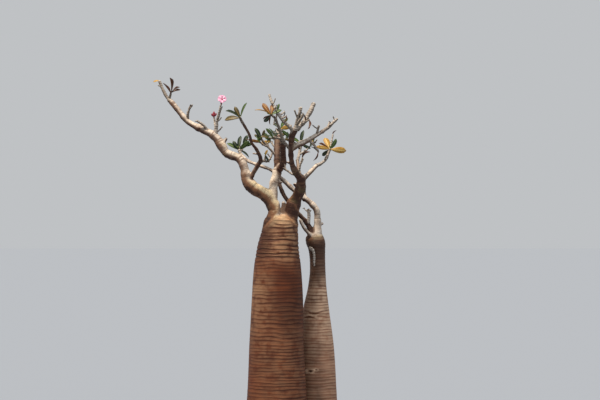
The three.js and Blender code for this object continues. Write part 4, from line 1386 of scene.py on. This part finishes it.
def grow_end(name, seed, stem, twigs, twiglets, leaves, taken):
    """The lines and the leaves of one end of the crown, by the rule of its solid."""
    draw = seeded(seed)
    stem_line = line_through(stem)
    lines = [stem_line]
    for share, lean, back, length, radius in twigs:
        start = along(stem_line, share)[:3]
        lines.append(side_twig(start, heading(lean, back), length / 1000, radius / 1000))
    named = len(lines)
    for _ in range(twiglets):
        start = along(stem_line, pick(draw, *TWIGLET_PLACE))[:3]
        lean = pick(draw, -TWIGLET_LEAN, TWIGLET_LEAN)
        way = heading(lean, pick(draw, -TWIGLET_BACK, TWIGLET_BACK))
        twiglet = side_twig(start, way, pick(draw, *TWIGLET_LENGTH) / 1000, TWIGLET_RADIUS / 1000)
        if is_clear(twiglet[2:, :3], TWIGLET_RADIUS / 1000, taken):
            lines.append(twiglet)
    grown = []
    for kind, lean, length, *twig in leaves:
        line = lines[twig[0] + 1 if twig else 0]
        for _ in range(LEAF_TRIES):
            way = heading(lean, pick(draw, -LEAF_SPREAD, LEAF_SPREAD))
            twist = math.radians(pick(draw, *LEAF_TWIST)) * (-1 if draw() < 0.5 else 1)
            face = turned(UP - way * (UP @ way) * 0.98, way, twist)
            root = along(line, 1 - pick(draw, 0, LEAF_STRAY) / 1000 / length_of(line))[:3]
            places = root + way * np.linspace(0.25, 1, 8)[:, None] * length / 1000
            if is_clear(places, LEAF_CLEARANCE, taken):
                grown.append((kind, root - way * LEAF_ROOT, way, face, length / 1000 + LEAF_ROOT))
                break
    return lines, grown, named


print("a leaf is tried up to", LEAF_TRIES, "times")

# %% Spurs
SPUR_SEED = 1000  # a spur's random numbers are not its twig's
SPUR_EVERY = 0.034  # metres of twig for one spur
SPUR_PLACE = (0.25, 0.97)  # shares of a twig between which spurs stand
SPUR_LENGTH = (0.007, 0.018)
SPUR_RADIUS = 0.0040
SPUR_FORWARD = (0.4, 1.2)  # how far a spur leans along its twig


def grow_spurs(lines, seed, taken):
    """Short stubby spurs along and near the ends of the twigs."""
    draw = seeded(seed)
    spurs = []
    for line in lines:
        for _ in range(round(length_of(line) / SPUR_EVERY)):
            share = pick(draw, *SPUR_PLACE)
            row = along(line, share)
            way = ways(line)[min(len(line) - 1, round(share * (len(line) - 1)))]
            side = np.cross(way, heading(360 * draw(), 60 * draw() - 30))
            side = side / np.linalg.norm(side) + way * pick(draw, *SPUR_FORWARD)
            side /= np.linalg.norm(side)
            length = pick(draw, *SPUR_LENGTH)
            radius = min(SPUR_RADIUS, 0.6 * row[3]) * pick(draw, 0.85, 1.15)
            spur = side_twig(row[:3] + side * row[3] * 0.3, side, length, radius)
            if is_clear(spur[2:, :3], radius, taken):
                spurs.append(spur)
    return spurs


print("spurs in a metre of twig:", round(1 / SPUR_EVERY))

# %% Grow every end
taken = np.vstack([line[::2] for line in limb_lines.values()]
                  + [line_through(stem)[::3] for stem in (MAIN_STEM, SECOND_STEM)])
end_lines = {}
end_leaves = {}
for name, seed, stem, twigs, twiglets, leaves in ENDS:
    grown_lines, grown, named = grow_end(name, seed, stem, twigs, twiglets, leaves, taken)
    spurs = grow_spurs(grown_lines, seed + SPUR_SEED, taken)
    end_lines[name] = (grown_lines, spurs)
    end_leaves[name] = grown
    taken = np.vstack([taken, *(line[::2] for line in grown_lines)])
twig_count, spur_count = (sum(len(made[k]) for made in end_lines.values()) for k in (0, 1))
print("twigs:", twig_count, "spurs:", spur_count, "leaves:", sum(map(len, end_leaves.values())))

# %% [markdown]
# ## Twigs
# Every twig is swept at once by the same tree as the limbs, with close ring scars. A twig starts a little
# thicker, as a collar, and its tip is slightly swollen, which is what makes this tree look like coral. The
# sweep is made into three pieces: the bare, the leafy and the flowering twigs.

# %% Sweep the twigs
TWIG_STEP = 0.002
# Ends that stand in full sun, painted paler than the others as painted sunlight.
SUNLIT_ENDS = {"hooked_twig": 1.0, "low_pale_twig": 0.7, "flower_twigs": 0.45, "left_stub": 0.3,
                 "top_arc": 0.4, "upper_twigs": 0.25}
DARK_TIPS = 0.35  # share of the twigs that end in a dark bud
TIP_LENGTH = 0.007
TWIG_SWEEP = {"Sides": 10, "Ring gap": 0.0075, "Ring depth": 0.06, "Lump size": 0.014,
              "Lump depth": 0.0024, "Seed": 2.0, "Material": twig_bark}


def knobbly(line, seed):
    """A twig's line in finer steps, with a collar, a slight wander and a swollen tip."""
    count = max(6, round(length_of(line) / TWIG_STEP))
    rows = np.array([along(line, share) for share in np.linspace(0, 1, count)])
    share = np.linspace(0, 1, count)
    radius = rows[:, 3]
    wander = np.column_stack([noise(rows[:, :3], 0.03, seed % 61 + k) for k in range(3)])
    rows[:, :3] += wander * np.minimum(share, 0.4)[:, None] * radius[:, None] * 0.6
    rows[:, 3] *= 1 + 0.22 * np.exp(-share / 0.06) + 0.16 * np.exp((share - 1) / 0.06)
    rows[:, 3] *= 1 + 0.14 * noise(rows[:, :3], 0.02, seed % 53 + 5)
    return round_end(rows)


def twig_piece(name, ends):
    """All the twigs and spurs of some ends as one piece, which stands for those ends."""
    draw = seeded(len(name))
    lines, bleach, tips = [], [], []
    for end in ends:
        for i, line in enumerate([*end_lines[end][0], *end_lines[end][1]]):
            rows = knobbly(line, 7 * i + len(end))
            to_end = np.linalg.norm(rows[:, :3] - rows[-1, :3], axis=1)
            lines.append(rows)
            bleach.append(np.full(len(rows), SUNLIT_ENDS.get(end, 0.0)))
            tips.append((draw() < DARK_TIPS) * np.clip(1.6 - to_end / TIP_LENGTH, 0, 1))
    base = lines_mesh(name, lines)
    store(base, "bleach", np.concatenate(bleach))
    store(base, "tip", np.concatenate(tips))
    piece = run_tree(name, base, sweep_tree, TWIG_SWEEP)
    mesh = piece.data
    normals = np.empty(len(mesh.vertices) * 3)
    mesh.vertex_normals.foreach_get("vector", normals)
    bleached = np.empty(len(mesh.vertices), np.float32)
    mesh.attributes["bleach"].data.foreach_get("value", bleached)
    # Painted light from above: a twig's bark is painted paler where it faces up and on the sunlit ends.
    store(mesh, "sky", normals.reshape(-1, 3)[:, 2] + bleached)
    store(mesh, "girth", np.zeros(len(mesh.vertices)))
    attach(piece, "root")
    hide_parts(*ends)
    print(name, "twigs and spurs:", len(lines), "faces:", len(mesh.polygons))
    return piece


leafy = [row[0] for row in ENDS if row[5]]
flowering = ["flower_twigs"]
bare = [row[0] for row in ENDS if not row[5] and row[0] not in flowering]
twig_piece("bare_twigs_bark", bare)
twig_piece("leafy_twigs_bark", leafy)
twig_piece("flowering_twigs_bark", flowering)

# %% [markdown]
# ## Leaves
# A leaf here is a narrow spoon: leathery, folded up a little along its midrib and bent back
# towards its tip. One blade is modelled with a thick closed edge and few faces, in three bends,
# and Geometry Nodes stand copies of it on points that carry a direction, a facing and a length.
# Leaves turn colour one by one with age, so each kind of leaf is a plain colour of its own.

# %% Leaf finishes
LEAF_TONE = (9, 2.0, (0.35, 0.75), 0.4)


def leathery_leaf(name, colour, light, roughness=0.48):
    """A thick waxy blade: a soft broad shine and a little unevenness, nothing that has a place."""
    made, tree, shader = new_material(name, roughness, specular=0.35)
    tree.links.new(mottle(tree, colour, light, *LEAF_TONE), shader.inputs["Base Color"])
    add_bump(tree, shader, patches(tree, 3, 2.0), 0.4, 0.4)
    return made


# Each kind's colour, partly darkened as painted shade, its lighter patches and its midrib.
LEAF_COLOURS = {
    "dark": ("#142013", "#2d3d21", "#4c5a32"),
    "green": ("#2b4118", "#56722e", "#7c8c48"),
    "olive": ("#433a1d", "#6d592c", "#8b7642"),
    "yellow": ("#97702c", "#d2ac50", "#dac078"),
    "orange": ("#6b431e", "#a07238", "#b89258"),
    "dried": ("#43230f", "#6e4024", "#86603c"),
    "young": ("#5f7233", "#8d984e", "#a3a868"),
}
leaf_finishes, rib_finishes = {}, {}
for kind, (shade, light, rib) in LEAF_COLOURS.items():
    leaf_finishes[kind] = leathery_leaf("leathery_leaf_" + kind, shade, light)
    rib_finishes[kind] = leathery_leaf("leaf_midrib_" + kind, rib, rib, roughness=0.55)
print("leaf finishes:", len(leaf_finishes), "and as many for the midribs")

# %% One blade
BLADE_ROWS = 7
BLADE_WIDTH = 0.32
RIB_HALF = 0.09  # half width of the midrib, as a share of half the blade


def blade_mesh(name, bend, fold, width=BLADE_WIDTH, widest=0.62, thickness=0.035, curl=0.0, rib=RIB_HALF):
    """A closed blade one unit long, up the Y axis, with its face to +Z and its midrib on the Y axis."""
    columns = (-1, -rib, rib, 1)
    # The upper side's rows come first, and the underside's after them.
    places = []
    for side in (1, -1):
        for i in range(BLADE_ROWS + 1):
            share = i / BLADE_ROWS
            if share < widest:
                spread = math.sin(0.5 * math.pi * share / widest) ** 1.25
            else:
                spread = math.sqrt(max(0.0, 1 - ((share - widest) / (1 - widest)) ** 2.3))
            half = max(0.022, 0.5 * width * spread) if i < BLADE_ROWS else 0.012
            for across in columns:
                rise = fold * abs(across) * half - bend * share**2
                rise += curl * (math.sin(5 * share) * across + abs(across) ** 3) * half
                rim = 1 - 0.85 * across**2
                up = share * (1 - 0.35 * bend * share)
                places.append((across * half, up, rise + side * thickness * 0.5 * rim))
    count = len(columns)
    layer = (BLADE_ROWS + 1) * count
    faces = []
    for i in range(BLADE_ROWS):
        for j in range(count - 1):
            a = i * count + j
            quad = (a, a + 1, a + 1 + count, a + count)
            faces.append(quad)
            faces.append(tuple(layer + k for k in reversed(quad)))
    ribs = [j == count // 2 - 1 for _ in range(BLADE_ROWS) for j in range(count - 1) for _ in (0, 1)]
    # A strip round the outline closes the two sides.
    outline = [i * count for i in range(BLADE_ROWS + 1)]
    outline += [BLADE_ROWS * count + j for j in range(1, count)]
    outline += [i * count + count - 1 for i in range(BLADE_ROWS - 1, -1, -1)]
    outline += list(range(count - 2, 0, -1))
    for a, b in zip(outline, outline[1:] + outline[:1]):
        faces.append((b, b + layer, a + layer, a))
        ribs.append(False)
    mesh = plain_mesh(name, places, faces)
    mesh.attributes.new("rib", "BOOLEAN", "FACE").data.foreach_set("value", ribs)
    mesh.shade_smooth()
    return mesh


BLADE_SHAPES = {"flat": (0.10, 0.30), "bent": (0.22, 0.42), "arched": (0.36, 0.25)}
DRIED_SHAPES = {"curled": (0.30, 0.9, 0.17), "rolled": (0.48, 1.2, 0.13), "twisted": (0.15, 0.7, 0.15)}
BLADES = [blade_mesh("blade_" + label, *shape) for label, shape in BLADE_SHAPES.items()]
DRIED_BLADES = [blade_mesh("blade_" + label, *shape, curl=0.8) for label, shape in DRIED_SHAPES.items()]
print("faces in a blade:", len(BLADES[0].polygons))

# %% [markdown]
# The blades stand on points through one more tree. It picks a blade by the point's number, turns
# it with its face and its way, scales it, makes the copies real and gives them their finish.
# Living leaves have turned towards the sun, dried ones hang as they grew, and every living
# rosette has a few young leaves at its heart.

# %% The scattering tree
SCATTER_INPUTS = {"Shape 1": "Object", "Shape 2": "Object", "Shape 3": "Object", "Material": "Material",
                  "Rib material": "Material"}
scatter_tree, given, result = new_tree("stand_on_points", SCATTER_INPUTS)
join = scatter_tree.nodes.new("GeometryNodeGeometryToInstance")
for label in ("Shape 3", "Shape 2", "Shape 1"):
    shape = add_node(scatter_tree, "GeometryNodeObjectInfo", {"Object": given[label]})
    scatter_tree.links.new(shape.outputs["Geometry"], join.inputs[0])
face, way, size = (
    geometry(scatter_tree, "InputNamedAttribute", {"Name": name}, data_type="FLOAT_VECTOR")
    for name in ("face", "way", "size")
)
turn = add_node(scatter_tree, "FunctionNodeAxesToRotation", {"Primary Axis": way, "Secondary Axis": face},
                primary_axis="Y", secondary_axis="Z")
points = geometry(scatter_tree, "MeshToPoints", {"Mesh": given["Geometry"]})
number = geometry(scatter_tree, "InputIndex")
stand = geometry(scatter_tree, "InstanceOnPoints",
                 {"Points": points, "Instance": join.outputs[0], "Pick Instance": True,
                  "Instance Index": number, "Rotation": turn.outputs[0], "Scale": size})
real = geometry(scatter_tree, "RealizeInstances", {"Geometry": stand})
rib = geometry(scatter_tree, "InputNamedAttribute", {"Name": "rib"}, data_type="BOOLEAN")
blades = geometry(scatter_tree, "SetMaterial", {"Geometry": real, "Material": given["Material"]})
painted = geometry(scatter_tree, "SetMaterial",
                   {"Geometry": blades, "Selection": rib, "Material": given["Rib material"]})
scatter_tree.links.new(painted, result.inputs[0])
print("scattering tree nodes:", len(scatter_tree.nodes))

# %% Stand the leaves on their twigs
LIVE_KINDS = ("dark", "green", "olive")
YOUNG_LEAVES = 4
YOUNG_LENGTH = (0.016, 0.036)
SUN_SIDE = np.array([0.15, -0.75, 0.65])
SUN_PULL = 0.9  # how far a living leaf has turned its face to the sun
NARROW = (0.72, 1.08)  # the range of a leaf's width against its length, next to the blade's own
GOLDEN_TURN = 0.382  # the share of a turn from one young leaf to the next
YOUNG_SPREAD = (0.25, 0.75)
YOUNG_ROOT = 0.004
LEAF_SEED = 4003
YOUNG_SEED = 4001


def sunward(face):
    """A leaf's face once it has turned towards the sun, upper side first."""
    face = face / np.linalg.norm(face)
    return face * math.copysign(1, face @ SUN_SIDE) + SUN_SIDE * SUN_PULL


def scatter(name, grown, shapes, finish, rib_finish):
    """A piece of copies of the shapes, one for each root, way, face and size."""
    roots, way_list, face_list, sizes = zip(*grown)
    mesh = plain_mesh(name, roots)
    store(mesh, "way", way_list, "FLOAT_VECTOR")
    store(mesh, "face", face_list, "FLOAT_VECTOR")
    store(mesh, "size", sizes, "FLOAT_VECTOR")
    makers = [add_piece(f"{name}_shape_{i}", shape) for i, shape in enumerate(shapes)]
    values = {f"Shape {i + 1}": maker for i, maker in enumerate(makers)}
    piece = run_tree(name, mesh, scatter_tree, {**values, "Material": finish, "Rib material": rib_finish})
    for maker in makers:
        bpy.data.objects.remove(maker)
    piece.data.shade_smooth()
    return piece


def grown_leaves():
    """The grown leaves' roots, ways, faces and sizes, by kind."""
    draw = seeded(LEAF_SEED)
    by_kind = {}
    for leaves in end_leaves.values():
        for kind, root, way, face, length in leaves:
            turned_face = face if kind == "dried" else sunward(face)
            size = (length * pick(draw, *NARROW), length, length)
            by_kind.setdefault(kind, []).append((root, way, turned_face, size))
    return by_kind


def young_leaves():
    """The same for the young leaves, which spiral up from the tip under each living rosette."""
    draw = seeded(YOUNG_SEED)
    young = []
    for name, _, _, _, _, leaves in ENDS:
        rosettes = {leaf[3] + 1 if len(leaf) > 3 else 0 for leaf in leaves if leaf[0] in LIVE_KINDS}
        for index in sorted(rosettes):
            line = end_lines[name][0][index]
            tip, on = line[-1, :3], ways(line)[-1]
            for i in range(YOUNG_LEAVES):
                spin = 2 * math.pi * (i * GOLDEN_TURN + draw())
                side = turned(np.cross(on, [0.3, 0.9, 0.2]), on, spin)
                way = on + side / np.linalg.norm(side) * pick(draw, *YOUNG_SPREAD)
                way /= np.linalg.norm(way)
                length = pick(draw, *YOUNG_LENGTH)
                young.append((tip - way * YOUNG_ROOT, way, on, (length, length, length)))
    return young


for kind, leaves in {**grown_leaves(), "young": young_leaves()}.items():
    shapes = DRIED_BLADES if kind == "dried" else BLADES
    piece = scatter("leaves_" + kind, leaves, shapes, leaf_finishes[kind], rib_finishes[kind])
    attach(piece, "root")
    print("leaves_" + kind, len(leaves), "faces:", len(piece.data.polygons))

# %% [markdown]
# ## The flower
# One twig carries an open flower, and the twig beside it a cluster of buds. Five broad petals
# stand round the mouth of a tube, pink, with a rose throat. A petal is a blade with a closed
# edge, broad and cupped, stood five times by the scattering tree. The tube, the throat and the
# buds are swept lines.

# %% Flower finishes
PETAL_TONE = (5, 2.0, (0.4, 0.7), 0.4)


def petal_finish(name, colour, vein):
    """A petal is thin and moist: soft light, faint streaks."""
    made, tree, shader = new_material(name, 0.5, specular=0.3)
    tree.links.new(mottle(tree, colour, vein, *PETAL_TONE), shader.inputs["Base Color"])
    return made


petal_pink = petal_finish("petal_pink", "#cf88ac", "#ecb8d4")
petal_line = petal_finish("petal_line_pale", "#e2b4c8", "#f2d6dc")
throat_rose = petal_finish("petal_throat_rose", "#96324f", "#b85673")
tube_red = petal_finish("petal_tube_red", "#6a2a34", "#8e4656")
bud_red = petal_finish("petal_bud_red", "#7c2633", "#a64754")
print("flower finishes:", petal_pink.name, petal_line.name, throat_rose.name, bud_red.name)

# %% Make the flower and the bud
PETALS = 5
PETAL_LENGTH = 0.028
PETAL_TILT = 0.40
PETAL_STREAK = 0.28  # half width of the pale streak down a petal, as a share of half the petal
FLOWER_HEADING = (12, -46)
FLOWER_FACING = (12, -62)  # the open mouth turns further to the front than its tube
FLOWER_TUBE = [(0.0, 4.5), (0.35, 5.5), (0.7, 7.5), (1.0, 9.0)]
FLOWER_TUBE_LENGTH = 45
FLOWER_TUBE_SUNK = 6  # how far back in the twig the tube begins
THROAT = [(-4, 6.5), (1, 6.5), (6, 6.5)]  # how far out of the tube's mouth, and the radius
BUDS = [(4, 6, 32), (44, 20, 28), (-40, -26, 24), (14, -58, 22)]  # lean, back, length
BUD_SHAPE = [(-0.15, 3.5), (0.2, 7.0), (0.5, 8.2), (0.8, 5.5), (1.0, 2.2)]  # share of length, radius

FLOWER_SWEEP = {"Sides": 12, "Ring gap": 0.02, "Ring depth": 0.0, "Lump size": 0.01,
                "Lump depth": 0.0008}


def swept_part(name, lines, finish):
    """A part of the flower: lines with round ends, swept and given their finish."""
    base = lines_mesh(name, [round_end(line) for line in lines])
    return run_tree(name, base, sweep_tree, {**FLOWER_SWEEP, "Material": finish})


flower_line = end_lines["flower_twigs"][0][0]
towards = heading(*FLOWER_HEADING)
root = flower_line[-1, :3]
tube = []
for share, radius in FLOWER_TUBE:
    reach = share * FLOWER_TUBE_LENGTH - FLOWER_TUBE_SUNK * (1 - share)
    tube.append([*(1000 * root + towards * reach), radius])
bud_root = end_lines["flower_twigs"][0][1][-1, :3]
buds = []
for lean, back, length in BUDS:
    stations = [[*(1000 * bud_root + heading(lean, back) * share * length), r] for share, r in BUD_SHAPE]
    buds.append(line_through(stations))
bud_piece = swept_part("flower_buds", buds, bud_red)
tube_piece = swept_part("flower_tube", [line_through(tube)], tube_red)

mouth = root + towards * FLOWER_TUBE_LENGTH / 1000
facing = heading(*FLOWER_FACING)
throat = line_through([[*(1000 * mouth + facing * reach), r] for reach, r in THROAT])
throat_piece = swept_part("flower_throat", [throat], throat_rose)
side = np.cross(facing, UP)
side /= np.linalg.norm(side)
petals = []
for i in range(PETALS):
    out = turned(side, facing, 2 * math.pi * (i + 0.25) / PETALS)
    tilt = out + facing * PETAL_TILT
    tilt /= np.linalg.norm(tilt)
    petals.append((mouth + out * 0.002, tilt, facing, (PETAL_LENGTH,) * 3))
petal_shape = blade_mesh("petal", 0.22, 0.10, width=1.05, widest=0.66, thickness=0.05, curl=0.12,
                         rib=PETAL_STREAK)
petal_shapes = [petal_shape, petal_shape.copy(), petal_shape.copy()]
petal_piece = scatter("flower_petals", petals, petal_shapes, petal_pink, petal_line)
for piece in (bud_piece, tube_piece, throat_piece, petal_piece):
    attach(piece, "root")
print("flower at", [round(v, 3) for v in mouth])

# %% [markdown]
# ## Finish
# Meshes that no piece uses any more are removed.

# %% Finish
for mesh in [m for m in bpy.data.meshes if m.users == 0]:
    bpy.data.meshes.remove(mesh)
